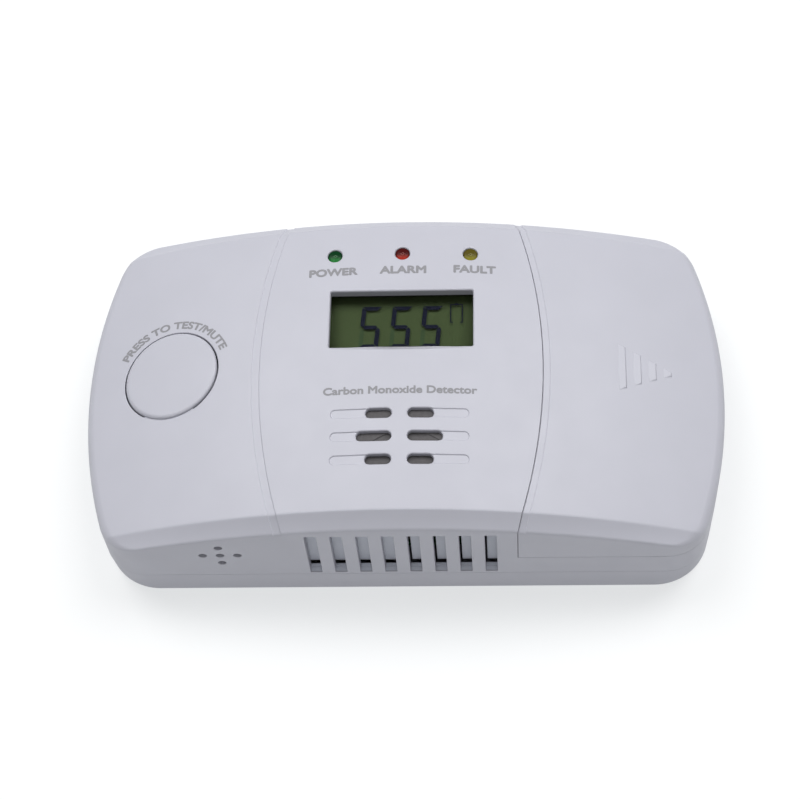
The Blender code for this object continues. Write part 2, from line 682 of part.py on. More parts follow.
def board_parts():
    chip("controller_chip", 0, 10 * MM, 10 * MM, 10 * MM, 1.6 * MM)
    chip("sensor_amplifier_chip", -21 * MM, -4 * MM, 5 * MM, 4 * MM, 1.5 * MM)
    chip("sounder_driver_chip", -36 * MM, 1 * MM, 5 * MM, 4 * MM, 1.5 * MM)
    sleeve = material("capacitor_sleeve", (0.02, 0.03, 0.10), 0.4)
    can("main_capacitor", (-27 * MM, 20 * MM), 3.15 * MM, 9 * MM, sleeve)
    can("filter_capacitor", (-37 * MM, 17 * MM), 2.5 * MM, 7 * MM, sleeve)
    copper = material("inductor_dark", (0.06, 0.05, 0.05), 0.5)
    can("sounder_inductor", (-27 * MM, 8 * MM), 4.2 * MM, 8 * MM, copper)


# ---- gas sensor and sounder ----------------------------------------------------------------------
def gas_sensor():
    """An electrochemical cell: a steel can, and a cap with a small inlet over it."""
    low = ON_BOARD
    mid = 20.6 * MM
    can_profile = [(SENSOR_RADIUS, low), (SENSOR_RADIUS, mid - 0.5 * MM), (SENSOR_RADIUS - 0.5 * MM, mid)]
    turned("gas_sensor_can", can_profile, SENSOR_XY, steel(), 28)
    cap_radius = SENSOR_RADIUS - 1 * MM
    cap_low = mid + GAP
    profile = [(cap_radius, cap_low), (cap_radius, SENSOR_TOP - 0.6 * MM), (cap_radius - 0.6 * MM, SENSOR_TOP)]
    cap = turned("gas_sensor_cap", profile, SENSOR_XY, grey_plastic(), 28)
    cut(cap, cylinder("tool_sensor_inlet", SENSOR_XY, 2.2 * MM, cap_low + 1.2 * MM, 40 * MM, steps=16))
    filter_low = cap_low + 1.2 * MM + GAP
    cylinder("gas_sensor_filter", SENSOR_XY, 1.8 * MM, filter_low, filter_low + 0.8 * MM, felt(), 16)


def sounder():
    """A piezo sounder: base cup, brass diaphragm with its ceramic, and a cap with a round mouth."""
    centre = (0, SOUNDER_Y)
    seat = 16.0 * MM
    base = cylinder("sounder_base", centre, SOUNDER_RADIUS, ON_BOARD, seat, grey_plastic(), 32)
    cut(base, cylinder("tool_base_cup", centre, SOUNDER_RADIUS - 1.6 * MM, ON_BOARD + 1.2 * MM, 40 * MM, steps=32))
    brass = material("brass", (0.55, 0.42, 0.16), 0.3, 1.0)
    cylinder("piezo_diaphragm", centre, SOUNDER_RADIUS - 0.5 * MM, seat + GAP, seat + 2 * GAP, brass, 32)
    ceramic = material("ceramic", (0.60, 0.60, 0.60), 0.4)
    cylinder("piezo_ceramic", centre, 6.5 * MM, seat + 3 * GAP, seat + 4 * GAP, ceramic, 24)
    rim = seat + 3 * GAP
    cap = cylinder("sounder_cap", centre, SOUNDER_RADIUS, rim, SOUNDER_TOP, grey_plastic(), 32)
    cut(cap, cylinder("tool_cap_cavity", centre, SOUNDER_RADIUS - 1.6 * MM, 10 * MM, SOUNDER_TOP - 1.2 * MM, steps=32))
    cut(cap, cylinder("tool_cap_mouth", centre, 8 * MM, 15 * MM, 30 * MM, steps=32))


def vent_baffle():
    """The comb behind the vents: a plate over the left half and four strips over the right half."""
    y0, y1 = -HALF_HEIGHT + WALL + 0.5 * MM, -HALF_HEIGHT + WALL + 1.5 * MM
    low, high = 8.95 * MM, 25.8 * MM
    comb = boxes("vent_baffle", [((-20.5 * MM, y0, low), (-1.2 * MM, y1, high))], white_plastic())
    starts = [(k + 0.5) * VENT_PITCH - VENT_WIDTH / 2 + 0.4 * MM for k in range(4)]
    teeth = [((x, y0 + 0.05 * MM, low), (x + 3.0 * MM, y1 + 0.05 * MM, high - 0.4 * MM)) for x in starts]
    rail = [((-3 * MM, y0 + 0.1 * MM, high - 1.2 * MM), (20.5 * MM, y1 - 0.1 * MM, high + 0.4 * MM))]
    join(comb, boxes("tool_teeth", teeth), boxes("tool_comb_rail", rail))


# ---- batteries and contacts ----------------------------------------------------------------------
def battery_cell(name, x, sign):
    """A round cell along Y whose terminal nub points to sign * Y."""
    radius, edge = CELL_RADIUS, 0.5 * MM
    nub, nub_length = CELL_NUB
    body = CELL_LENGTH - nub_length
    profile = [(radius - edge, 0), (radius, edge), (radius, body - edge), (radius - edge, body), (nub, body),
               (nub, CELL_LENGTH)]
    cell = turned(name, profile, (0, 0), material("cell_sleeve", (0.03, 0.10, 0.05), 0.35, 0.4), 28)
    cell.data.transform(Matrix.Rotation(-sign * pi / 2, 4, "X"))
    cell.location = (x, sign * (CELL_TIP - CELL_LENGTH), CELL_Z)


def contact_plate(name, x_span, y_side, dimple_x=None):
    inner, outer = 27.6 * MM, 28.0 * MM
    span = sorted((y_side * inner, y_side * outer))
    plate = boxes(name, [((x_span[0], span[0], 7 * MM), (x_span[1], span[1], 18 * MM))], steel())
    if dimple_x is not None:
        bm = bmesh.new()
        add_prism(bm, circle_points(dimple_x, CELL_Z, 2.4 * MM, 16), 26.8 * MM, 27.8 * MM)
        turn = Matrix(((1, 0, 0, 0), (0, 0, y_side, 0), (0, 1, 0, 0), (0, 0, 0, 1)))
        bm.transform(turn)
        join(plate, add_object(f"tool_{name}", bm, None))
    return plate


def battery_spring(name, x, y_side):
    """A coil that narrows towards the cell, as a bevelled curve."""
    start, end = 27.3 * MM - SPRING_WIRE, CELL_LENGTH - CELL_TIP + GAP + SPRING_WIRE
    steps = int(SPRING_TURNS * 12)
    curve = bpy.data.curves.new(name, "CURVE")
    curve.dimensions = "3D"
    curve.bevel_depth = SPRING_WIRE
    curve.bevel_resolution = 2
    curve.use_fill_caps = True
    line = curve.splines.new("POLY")
    line.points.add(steps)
    for k in range(steps + 1):
        share = k / steps
        radius = SPRING_RADIUS * (1 - 0.3 * share)
        angle = 2 * pi * SPRING_TURNS * share
        depth = y_side * (start + (end - start) * share)
        line.points[k].co = (x + radius * cos(angle), depth, CELL_Z + radius * sin(angle), 1)
    curve.materials.append(steel())
    bpy.context.collection.objects.link(bpy.data.objects.new(name, curve))


def batteries():
    left, right = CELL_X
    battery_cell("battery_cell_1", left, -1)
    battery_cell("battery_cell_2", right, 1)
    contact_plate("battery_contact_positive", (left - 4.5 * MM, left + 4.5 * MM), -1, left)
    contact_plate("battery_contact_negative", (right - 4.5 * MM, right + 4.5 * MM), -1)
    contact_plate("battery_contact_series", (left - 4.5 * MM, right + 4.5 * MM), 1, right)
    battery_spring("battery_spring_1", left, 1)
    battery_spring("battery_spring_2", right, -1)


# ---- fasteners -----------------------------------------------------------------------------------
def screw(name, x, y, head_low, head_radius, shaft_radius, tip):
    """A pan-head screw that points up, with a cross recess in its head."""
    head = head_low + 1.6 * MM
    profile = [(head_radius - 0.3 * MM, head_low), (head_radius, head_low + 0.4 * MM), (head_radius, head),
               (shaft_radius, head), (shaft_radius, tip - shaft_radius), (0.15 * MM, tip)]
    made = turned(name, profile, (x, y), steel(), 16)
    arm, half, deep = 1.3 * MM, 0.3 * MM, 0.7 * MM
    cross = [(arm, half), (half, half), (half, arm), (-half, arm), (-half, half), (-arm, half),
             (-arm, -half), (-half, -half), (-half, -arm), (half, -arm), (half, -half), (arm, -half)]
    recess = [(x + a, y + b) for a, b in cross]
    cut(made, prism(f"tool_{name}", recess, head_low - 1 * MM, head_low + deep))


def screws():
    for name, (x, y, _) in SCREW_BOSSES.items():
        screw(name, x, y, 0.6 * MM, 2.45 * MM, 1.15 * MM, 12 * MM)
    for name, (x, y, _) in BOARD_POSTS.items():
        screw(name, x, y, BOARD_Z - GAP - 1.6 * MM, 2.2 * MM, 0.95 * MM, 16.5 * MM)


def main():
    clear_scene()
    front_cover()
    sound_screen()
    battery_door()
    battery_tray()
    rear_cover()
    test_button()
    button_hinge_web()
    test_switch()
    display()
    for name, (x, y) in led_positions().items():
        led(name, x, y)
    main_board()
    board_parts()
    gas_sensor()
    sounder()
    vent_baffle()
    batteries()
    screws()


main()
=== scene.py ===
"""The looks of the carbon monoxide detector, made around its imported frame.

Lengths here are millimetres, except the lights', and turn into metres as a mesh is made. The axes are
the frame's: z = 0 is the flat back, +Z points out of the face, +Y is the top edge and +X is the battery
side.

Each moulded shell is a Sheet. Its points are found in a plane by a constrained triangulation of the
shell's edges and features, then lifted to the moulded surface by a height function. Every point has a
partner on the shell's inner side, and the two sides are closed round all open edges.
"""

from math import asin, atan2, cos, pi, radians, sin, sqrt, tan

import bpy
import numpy as np
from mathutils import Matrix, Vector
from mathutils.geometry import delaunay_2d_cdt
from mathutils.kdtree import KDTree


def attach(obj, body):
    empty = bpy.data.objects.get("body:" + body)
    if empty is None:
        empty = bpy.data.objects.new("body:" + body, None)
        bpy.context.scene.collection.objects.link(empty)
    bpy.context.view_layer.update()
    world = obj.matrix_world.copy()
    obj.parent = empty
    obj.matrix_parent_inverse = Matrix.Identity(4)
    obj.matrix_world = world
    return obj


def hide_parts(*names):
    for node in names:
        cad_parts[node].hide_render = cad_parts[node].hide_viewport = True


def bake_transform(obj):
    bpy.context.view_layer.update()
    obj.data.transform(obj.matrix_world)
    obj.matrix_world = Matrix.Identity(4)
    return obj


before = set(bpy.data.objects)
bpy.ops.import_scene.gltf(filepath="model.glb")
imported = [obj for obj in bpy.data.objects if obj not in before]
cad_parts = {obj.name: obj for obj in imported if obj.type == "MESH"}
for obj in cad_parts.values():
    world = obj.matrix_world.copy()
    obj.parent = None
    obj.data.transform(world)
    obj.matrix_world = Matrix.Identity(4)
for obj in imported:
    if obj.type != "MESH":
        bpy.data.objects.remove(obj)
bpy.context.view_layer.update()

MM = 0.001
SHARP = 35  # degrees
TOUCH = 1e-4  # how near a point on an edge or a wall lies to it

# ---- casing --------------------------------------------------------------------------------------
HALF_WIDTH = 65.8
HALF_HEIGHT = 35.7
DEPTH = 33.5
SIDE_RADIUS = 98.0
CORNER_RADIUS = 8.9
BACK_CORNER_RADIUS = 11.5
BOW_X = 0.003456  # the face falls by BOW_X * x * x + BOW_Y * y * y
BOW_Y = 0.002005
WALL_TOP = 28.26
WALL_TOP_BOW = 0.003006
CHAMFER = 3.11
WALL = 2.0
INNER_BLEND = 0.5
SLANT = 1.42  # how much further a depth reaches along Z on the chamfer
SLANT_SPAN = (2.2, 1.6)  # where that begins to fade, and over what width
FAR_X = 80  # FAR_X and FAR_Y lie beyond the casing
FAR_Y = 40
COVER_LOW = 7.6  # the front cover's lower edge
REAR_HIGH = 7.5  # the rear cover's upper edge
DOOR_LOW = 14.85  # the door's lower edge
LEDGE = 14.81  # the front cover's upper edge under the door
SEAM_X = 28.6
SEAM_RADIUS = 119.0
SEAM_GAP = 0.05
GROOVE_DEPTH = 0.22
GROOVE_INNER = 0.2  # width of the groove's wall beside the seam
GROOVE_SPAN = {-1: 1.5, 1: 1.22}  # where its outer wall starts, on the left and on the right
GROOVE_OUTER = 0.4  # width of its outer wall

SIDE_CENTRE = HALF_WIDTH - SIDE_RADIUS
CORNER_Y = HALF_HEIGHT - CORNER_RADIUS
CORNER_X = SIDE_CENTRE + sqrt((SIDE_RADIUS - CORNER_RADIUS) ** 2 - CORNER_Y**2)
CORNER_START = atan2(CORNER_Y, CORNER_X - SIDE_CENTRE)

# ---- soft edges of the moulding ------------------------------------------------------------------
WALL_ROUND = 0.4
SIDE_ROUND = 1.8
RIDGE_BLEND = 0.15
EDGE_ROUND = 0.12
SEAM_ROUND = 0.1
SEAM_FADE = 0.6
FILLET_ROWS = (0.0, 0.1, 0.3, 0.6, 1.0)  # rows of points, as shares of a fillet's radius
# Rows of points round the casing, as depths inward of its outline.
SHOULDER_ROWS = (0.0, 0.008, 0.03, 0.08, 0.16, 0.25, 0.45, 0.8, 1.3, 1.8, 2.3, 2.75, 3.0, 3.2, 3.5,
                 3.9, 4.4, 5.0, 5.8, 7.0)
RIDGE_ROWS = (2.75, 3.0, 3.2, 3.5)

# ---- features of the face ------------------------------------------------------------------------
LED_PITCH = 14.0
LED_Y = 25.45
LED_HOLE = 1.52
LED_HOLE_ROUND = 0.35
LED_RADIUS = 1.5
WINDOW = (14.585, 2.99, 16.42)  # half its width, and its low and high y
WINDOW_CORNER = 0.35
WINDOW_ROUND = 0.45
SLOT_TOP = -11.19
SLOT_PITCH = 4.944
SLOT_HALF = 1.06
SLOT_INNER = 1.57
SLOT_OUTER = (6.8, 8.6, 6.8)  # the outer end of each row's slots
SLOT_ROUND = 0.3
SLOT_FIELD = (-15.3, -25.2, 15.3, -8.8)
SLOT_FIELD_CORNER = 1.0
SLOT_FIELD_SLOPE = 0.8
SLOT_SKIN = 1.1  # thickness of the face round the slots
SCREEN_ROUND = (1.4, -26.9, 11.3)  # x, y and radius of the sounder's rim
SCREEN_DEPTH = 1.15  # SCREEN_DEPTH and SCREEN_UNDER are the felt's front and back, below the dome
SCREEN_STEP = 0.2
SCREEN_SLOPE = 0.16
SCREEN_ROWS = (-0.1, -0.04, 0, 0.04, 0.1)
SCREEN_UNDER = 1.9
SCREEN_MARGIN = 0.8
CHANNEL_OUTER = 13.9
CHANNEL_DEPTH = 0.24
CHANNEL_ROUND = 0.25
VENT_COUNT = 8
VENT_PITCH = 5.08
VENT_HALF = 1.2
VENT_Z = (8.42, 25.37)
VENT_CORNER = 0.12
VENT_PLACES = [(k - (VENT_COUNT - 1) / 2) * VENT_PITCH for k in range(VENT_COUNT)]
SILL_HALF = 1.18
SILL_LOW = 8.38
SILLS = ((-35.4, -34.55, 8.46), (-34.5, -33.75, 8.52))  # y from, y to and top of each step
SENSOR_HOLES = (-36.5, 16.9, 3.5, 0.85)  # x, z, pitch, radius
BUTTON_X = -47.47
BUTTON_Y = 0.83
BUTTON_RADIUS = 9.84
DISC = (-47.51, 0.91)  # the middle of the button's disc
BUTTON_HOLE = 10.1
BUTTON_HOLE_ROUND = 0.15
BUTTON_RISE = 0.4
BUTTON_ROUND = 0.75
BUTTON_ROWS = (0.02, 0.06, 0.12, 0.2, 0.32, 0.48, 0.7, 1.0, 2.0, 4.0, 6.5, 9.0, 11.5)
BUTTON_SKIN = 2.0
POST_Y = 4.4
POST_RADIUS = 2
POST_Z = (17.4, 24.8)
WEB_HALF = 32  # degrees
WEB_OVERLAP = 0.2
WEB_TOP = 0.34  # depths below the dome
WEB_UNDER = 1.2
DOOR_RIB = ((28, 32.75, 17.05), (43, 34.2, 17.85))  # low and high corners, at +Y
BAR_COUNT = 4
BAR_X = 43.9
BAR_Y = 1.0
BAR_PITCH = 3.1
BAR_WIDTH = 1.45
BAR_HALF = 5.3
BAR_TAPER = 0.45
BAR_RISE = 0.36
BAR_LEFT = 0.35  # a bar's rise at its left edge, as a share of BAR_RISE
BAR_SOFT = 0.3
BAR_ROWS = (-0.15, -0.07, 0, 0.07, 0.15)


# ---- small helpers -------------------------------------------------------------------------------
def smooth(t):
    t = np.clip(t, 0, 1)
    return t * t * (3 - 2 * t)


def mix(a, b, share):
    return a + (b - a) * share


def smooth_min(a, b, width):
    overlap = np.clip(width - np.abs(a - b), 0, None) / width
    return np.minimum(a, b) - overlap * overlap * width / 4


def edge_drop(distance, radius):
    """How far a rounded edge has fallen at a distance inward from it."""
    gap = np.clip(radius - distance, 0, radius)
    return radius - np.sqrt(radius**2 - gap**2)


def unit(v):
    return v / np.maximum(np.linalg.norm(v, axis=-1, keepdims=True), 1e-12)


def area(ring):
    x, y = np.array(ring).T
    return float(np.sum(x * np.roll(y, -1) - y * np.roll(x, -1))) / 2


# ---- plan shapes ---------------------------------------------------------------------------------
def circle(x, y, radius, steps=64):
    turns = [2 * pi * k / steps for k in range(steps)]
    return [(x + radius * cos(a), y + radius * sin(a)) for a in turns]


def rounded_box(x0, y0, x1, y1, corner, steps=6):
    ring = []
    for k, (x, y) in enumerate(((x1, y0), (x1, y1), (x0, y1), (x0, y0))):
        cx, cy = (x - corner if x == x1 else x + corner), (y - corner if y == y1 else y + corner)
        start = -pi / 2 + k * pi / 2
        for j in range(steps + 1):
            a = start + pi / 2 * j / steps
            ring.append((cx + corner * cos(a), cy + corner * sin(a)))
    return ring


def box_distance(x, y, x0, y0, x1, y1, corner):
    """Signed distance outward from a rounded box."""
    qx = np.abs(x - (x0 + x1) / 2) - (x1 - x0) / 2 + corner
    qy = np.abs(y - (y0 + y1) / 2) - (y1 - y0) / 2 + corner
    return np.hypot(np.maximum(qx, 0), np.maximum(qy, 0)) + np.minimum(np.maximum(qx, qy), 0) - corner


class Round:
    """A round hole."""

    def __init__(self, x, y, radius, fillet, steps=64):
        self.place = (x, y, radius)
        self.fillet = fillet
        self.steps = steps

    def ring(self, grow=0.0):
        x, y, radius = self.place
        return circle(x, y, radius + grow, self.steps)

    def distance(self, x, y):
        return np.hypot(x - self.place[0], y - self.place[1]) - self.place[2]


class Box:
    """A rectangular hole with rounded corners; a slot is one whose corners are half its height."""

    def __init__(self, x0, y0, x1, y1, corner, fillet, steps=6):
        self.place = (x0, y0, x1, y1)
        self.corner = corner
        self.fillet = fillet
        self.steps = steps

    def ring(self, grow=0.0):
        x0, y0, x1, y1 = self.place
        return rounded_box(x0 - grow, y0 - grow, x1 + grow, y1 + grow, self.corner + grow, self.steps)

    def distance(self, x, y):
        return box_distance(x, y, *self.place, self.corner)


def outline(inset=0.0, corner=CORNER_RADIUS, side_steps=24, arc_steps=16, wall_steps=44):
    """The casing's plan, inset all round, counter-clockwise from the middle of the right side."""
    radius = max(corner - inset, 0.4)
    side = SIDE_RADIUS - inset
    corner_y = HALF_HEIGHT - inset - radius
    reach = sqrt((side - radius) ** 2 - corner_y**2)
    corner_x = SIDE_CENTRE + reach
    first = atan2(corner_y, reach)
    half = side_steps // 2
    bow = [first * k / half for k in range(half)]
    right = [(SIDE_CENTRE + side * cos(a), side * sin(a)) for a in bow]
    turn = [first + (pi / 2 - first) * k / arc_steps for k in range(arc_steps)]
    upper = [(corner_x + radius * cos(a), corner_y + radius * sin(a)) for a in turn]
    wall = [(corner_x * (1 - 2 * k / wall_steps), HALF_HEIGHT - inset) for k in range(wall_steps + 1)]
    quarter = right + upper
    top = quarter + wall + [(-x, y) for x, y in reversed(quarter[1:])]
    return top + [(-x, -y) for x, y in top]


# ---- the casing's surface ------------------------------------------------------------------------
def corner_place(x, y):
    """Whether the corner's arc is the outline nearest to a point with x, y > 0, and its place from
    the arc's centre."""
    dx, dy = x - CORNER_X, y - CORNER_Y
    return (dx > 0) & (dy > dx * tan(CORNER_START)), dx, dy


def casing_depth(x, y):
    """How far inward of the casing's outline a plan point lies."""
    x, y = np.abs(x), np.abs(y)
    in_corner, dx, dy = corner_place(x, y)
    side = SIDE_RADIUS - np.hypot(x - SIDE_CENTRE, y)
    return np.where(in_corner, CORNER_RADIUS - np.hypot(dx, dy), np.minimum(HALF_HEIGHT - y, side))


def outward(x, y):
    """The outline's outward direction nearest to a plan point."""
    ax, ay = np.abs(x), np.abs(y)
    in_corner, dx, dy = corner_place(ax, ay)
    on_side = SIDE_RADIUS - np.hypot(ax - SIDE_CENTRE, ay) < HALF_HEIGHT - ay
    nx = np.where(in_corner, dx, np.where(on_side, ax - SIDE_CENTRE, 0))
    ny = np.where(in_corner, dy, np.where(on_side, ay, 1))
    size = np.hypot(nx, ny)
    return np.where(x < 0, -nx, nx) / size, np.where(y < 0, -ny, ny) / size


def sideness(x, y):
    """0 along the long walls and 1 along the bowed sides, with a smooth change round the corners."""
    dx = np.maximum(np.abs(x) - CORNER_X, 1e-9)
    dy = np.maximum(np.abs(y) - CORNER_Y, 0)
    return smooth((pi / 2 - np.arctan2(dy, dx)) / (pi / 2 - CORNER_START))


def dome(x, y):
    return DEPTH - BOW_X * x * x - BOW_Y * y * y


def wall_top(x):
    return WALL_TOP - WALL_TOP_BOW * x * x


def rim_radius(x, y):
    """The rounding between the face and the wall: tight on the long walls, broad on the bowed sides."""
    return mix(WALL_ROUND, SIDE_ROUND, sideness(x, y))


def face_top(x, y):
    """The dome and the long straight chamfers, before the rim is rounded."""
    rise = (dome(x, y) - wall_top(x)) / CHAMFER
    slope = wall_top(x) + rise * (HALF_HEIGHT - np.abs(y))
    return smooth_min(dome(x, y), slope, RIDGE_BLEND)


def body_height(x, y):
    """The outer surface with no features."""
    return face_top(x, y) - edge_drop(np.maximum(casing_depth(x, y), 0), rim_radius(x, y))


def inner_height(x, y):
    """The inner surface of the front shells."""
    edge = wall_top(x) + WALL * (1 - sqrt(2))
    shoulder = CHAMFER + WALL * (sqrt(2) - 1)
    rise = (dome(x, y) - WALL - edge) / (shoulder - WALL)
    low = smooth_min(dome(x, y) - WALL, edge + rise * (casing_depth(x, y) - WALL), INNER_BLEND)
    return low + (WALL - SLOT_SKIN) * slot_field(x, y)


def slot_field(x, y):
    """1 over the field of the sound slots and 0 elsewhere, with a short slope between."""
    return smooth(0.5 - box_distance(x, y, *SLOT_FIELD, SLOT_FIELD_CORNER) / SLOT_FIELD_SLOPE)


def inner_place(x, y, thickness=WALL, reach=6.0):
    """The inner partner of a plan point: pushed inward near the outline, and unmoved further in."""
    nx, ny = outward(x, y)
    push = thickness * np.clip(1 - casing_depth(x, y) / reach, 0, 1)
    return x - nx * push, y - ny * push


def seam(y):
    return SEAM_X - SEAM_RADIUS + np.sqrt(SEAM_RADIUS**2 - y * y)


def slant_factor(x, y):
    """How much further a fixed depth falls along Z where the surface slopes, on the chamfer."""
    start, width = SLANT_SPAN
    return mix(1, SLANT, 1 - smooth((casing_depth(x, y) - start) / width))


# ---- triangulation -------------------------------------------------------------------------------
class Plan:
    """Lines, regions and holes in a plane, triangulated together."""

    def __init__(self):
        self.points = []
        self.edges = []
        self.rings = []
        self.holes = set()

    def line(self, points, closed=False):
        first = len(self.points)
        self.points += [Vector(p) for p in points]
        count = len(points)
        self.edges += [(first + k, first + k + 1) for k in range(count - 1)]
        if closed:
            self.edges.append((first + count - 1, first))
        return list(range(first, first + count))

    def dots(self, points):
        self.points += [Vector(p) for p in points]

    def region(self, ring):
        ring = ring if area(ring) > 0 else ring[::-1]
        self.rings.append(self.line(ring, True))

    def hole(self, ring):
        self.holes.add(len(self.rings))
        self.region(ring)

    def triangles(self):
        """The points used, and the triangles inside every region and outside every hole."""
        wanted = set(range(len(self.rings))) - self.holes
        return self.kept(lambda own: wanted <= set(own) and not self.holes & set(own))

    def filled(self, batch):
        """The points used, and the triangles that lie in an odd number of rings of any one batch."""

        def covered(own):
            batches = [k // batch for k in own]
            return any(batches.count(k) % 2 for k in set(batches))

        return self.kept(covered)

    def kept(self, wanted):
        found, _, faces, _, _, owners = delaunay_2d_cdt(self.points, self.edges, self.rings, 0, 1e-5)
        kept = [f for f, own in zip(faces, owners) if wanted(own)]
        used = sorted({k for f in kept for k in f})
        place = {k: n for n, k in enumerate(used)}
        return np.array([found[k][:] for k in used]), np.array([[place[k] for k in f] for f in kept])


def boundary(faces):
    """Directed edges of the faces that no other face shares."""
    edges = {(f[k], f[(k + 1) % len(f)]) for f in faces for k in range(len(f))}
    return [(a, b) for a, b in edges if (b, a) not in edges]


def surface_normals(lift, u, v, step=0.004):
    """Unit normals of the surface lift(u, v) -> points, by central differences."""
    along = lift(u + step, v) - lift(u - step, v)
    across = lift(u, v + step) - lift(u, v - step)
    return unit(np.cross(along, across))


# ---- sheets --------------------------------------------------------------------------------------
class Sheet:
    """A moulded shell under construction."""

    def __init__(self):
        self.outer, self.inner, self.outer_normals, self.inner_normals = [], [], [], []
        self.faces = []

    def add(self, outer, inner, outer_normals, inner_normals, faces):
        first = len(self.outer)
        self.outer += list(outer)
        self.inner += list(inner)
        self.outer_normals += list(outer_normals)
        self.inner_normals += list(inner_normals)
        self.faces += [tuple(int(k) + first for k in f) for f in faces]

    def weld(self, reach=0.002):
        """Joins points of neighbouring patches, and averages their normals."""
        tree = KDTree(len(self.outer))
        for k, p in enumerate(self.outer):
            tree.insert(p, k)
        tree.balance()
        lead = [min(hit[1] for hit in tree.find_range(p, reach)) for p in self.outer]
        for k, owner in enumerate(lead):
            if owner != k:
                self.outer_normals[owner] = self.outer_normals[owner] + self.outer_normals[k]
                self.inner_normals[owner] = self.inner_normals[owner] + self.inner_normals[k]
        welded = [tuple(dict.fromkeys(lead[k] for k in f)) for f in self.faces]
        self.faces = [f for f in welded if len(f) > 2]

    def mesh(self, name, reach=0.002):
        """The closed shell, with the moulded surface's own normals."""
        self.weld(reach)
        used = sorted({k for f in self.faces for k in f})
        place = {k: n for n, k in enumerate(used)}
        count = len(used)
        faces = [tuple(place[k] for k in f) for f in self.faces]
        outer, inner = np.array(self.outer)[used], np.array(self.inner)[used]
        normals = [unit(np.array(n)[used]) for n in (self.outer_normals, self.inner_normals)]
        normals = np.vstack(normals)
        points = np.vstack([outer, inner])
        inside = [tuple(k + count for k in reversed(f)) for f in faces]
        corners = [normals[k] for f in faces + inside for k in f]
        rims = [(b, a, a + count, b + count) for a, b in boundary(faces)]
        for rim in rims:
            corners += rim_normals(points, normals, rim)
        return add_mesh(name, points, faces + inside + rims, corners)


def rim_normals(points, normals, rim):
    """Normals of a quad that closes a shell's edge: they follow the rounded edge where there is one."""
    a, b, c, d = (points[k] for k in rim)
    flat = np.cross(c - a, d - b)
    flat = flat / max(np.linalg.norm(flat), 1e-12)
    made = []
    for outer, inner in ((rim[0], rim[3]), (rim[1], rim[2])):
        across = points[inner] - points[outer]
        across = across / max(np.linalg.norm(across), 1e-12)
        leaning = normals[outer] - np.dot(normals[outer], across) * across
        size = np.linalg.norm(leaning)
        smooth_one = size > 0.5 and np.dot(leaning, flat) > 0.75 * size
        made.append(leaning / size if smooth_one else flat)
    return [made[0], made[1], made[1], made[0]]


def linked(name, data):
    made = bpy.data.objects.new(name, data)
    bpy.context.scene.collection.objects.link(made)
    return made


def add_mesh(name, points, faces, corners=None):
    data = bpy.data.meshes.new(name)
    places = [tuple(p * MM) for p in np.asarray(points, float)]
    data.from_pydata(places, [], [tuple(map(int, f)) for f in faces])
    data.shade_smooth()
    if corners is not None:
        data.normals_split_custom_set([tuple(n) for n in corners])
    return linked(name, data)


def creased(name, points, faces):
    """A mesh that is smooth except where its faces meet at more than SHARP degrees."""
    made = add_mesh(name, points, faces)
    made.data.set_sharp_from_angle(angle=radians(SHARP))
    return made


def finish_piece(piece, body, look, slot, *nodes):
    """Gives a piece its material and its body, and hides the CAD nodes that it stands for. The slot is
    not used.
    """
    piece.data.materials.clear()
    piece.data.materials.append(look)
    if nodes:
        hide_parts(*nodes)
    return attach(piece, body)


# ---- turned pieces -------------------------------------------------------------------------------
def rounded_profile(corners, steps=5):
    """A (radius, z) profile whose corners, given as (radius, z, fillet), are rounded."""
    made = []
    for k, (r, z, fillet) in enumerate(corners):
        if fillet == 0 or k in (0, len(corners) - 1):
            made.append((r, z))
            continue
        here = Vector((r, z))
        back = (Vector(corners[k - 1][:2]) - here).normalized()
        on = (Vector(corners[k + 1][:2]) - here).normalized()
        half = back.angle(on) / 2
        start, end = here + back * fillet / tan(half), here + on * fillet / tan(half)
        centre = here + (back + on).normalized() * fillet / sin(half)
        a, b = start - centre, end - centre
        turn = a.angle_signed(b)
        made += [tuple(centre + Matrix.Rotation(-turn * j / steps, 2) @ a) for j in range(steps + 1)]
    return made


def lathe(name, profile, centre, steps=64, axis="Z"):
    """A closed piece turned about an axis through centre.

    The (radius, z) profile runs from the bottom to the top, or, counter-clockwise, back to its start.
    """
    points, faces, rings = [], [], []
    for k, (r, z) in enumerate(profile):
        if k and (r, z) == profile[0]:
            rings.append(rings[0])
        elif r == 0:
            rings.append([len(points)] * steps)
            points.append((0, 0, z))
        else:
            rings.append(list(range(len(points), len(points) + steps)))
            points += [(x, y, z) for x, y in circle(0, 0, r, steps)]
    for low, high in zip(rings, rings[1:]):
        for k in range(steps):
            quad = [low[k], low[(k + 1) % steps], high[(k + 1) % steps], high[k]]
            quad = [p for n, p in enumerate(quad) if p != quad[n - 1]]
            if len(quad) > 2:
                faces.append(quad)
    x, y, z = np.array(points, float).T
    turned = {"Z": (x, y, z), "Y": (x, z, -y), "-Y": (x, -z, y)}[axis]
    return creased(name, np.stack(turned, -1) + np.array(centre), faces)


def ring_piece(name, loop, place, steps=40):
    """A turned ring about a plan point: loop is its (radius, z) section, counter-clockwise."""
    return lathe(name, [*loop, loop[0]], (*place, 0), steps)


def joined(name, *pieces):
    """One mesh out of several, as one piece."""
    with bpy.context.temp_override(active_object=pieces[0], selected_editable_objects=list(pieces)):
        bpy.ops.object.join()
    pieces[0].name = name
    return pieces[0]


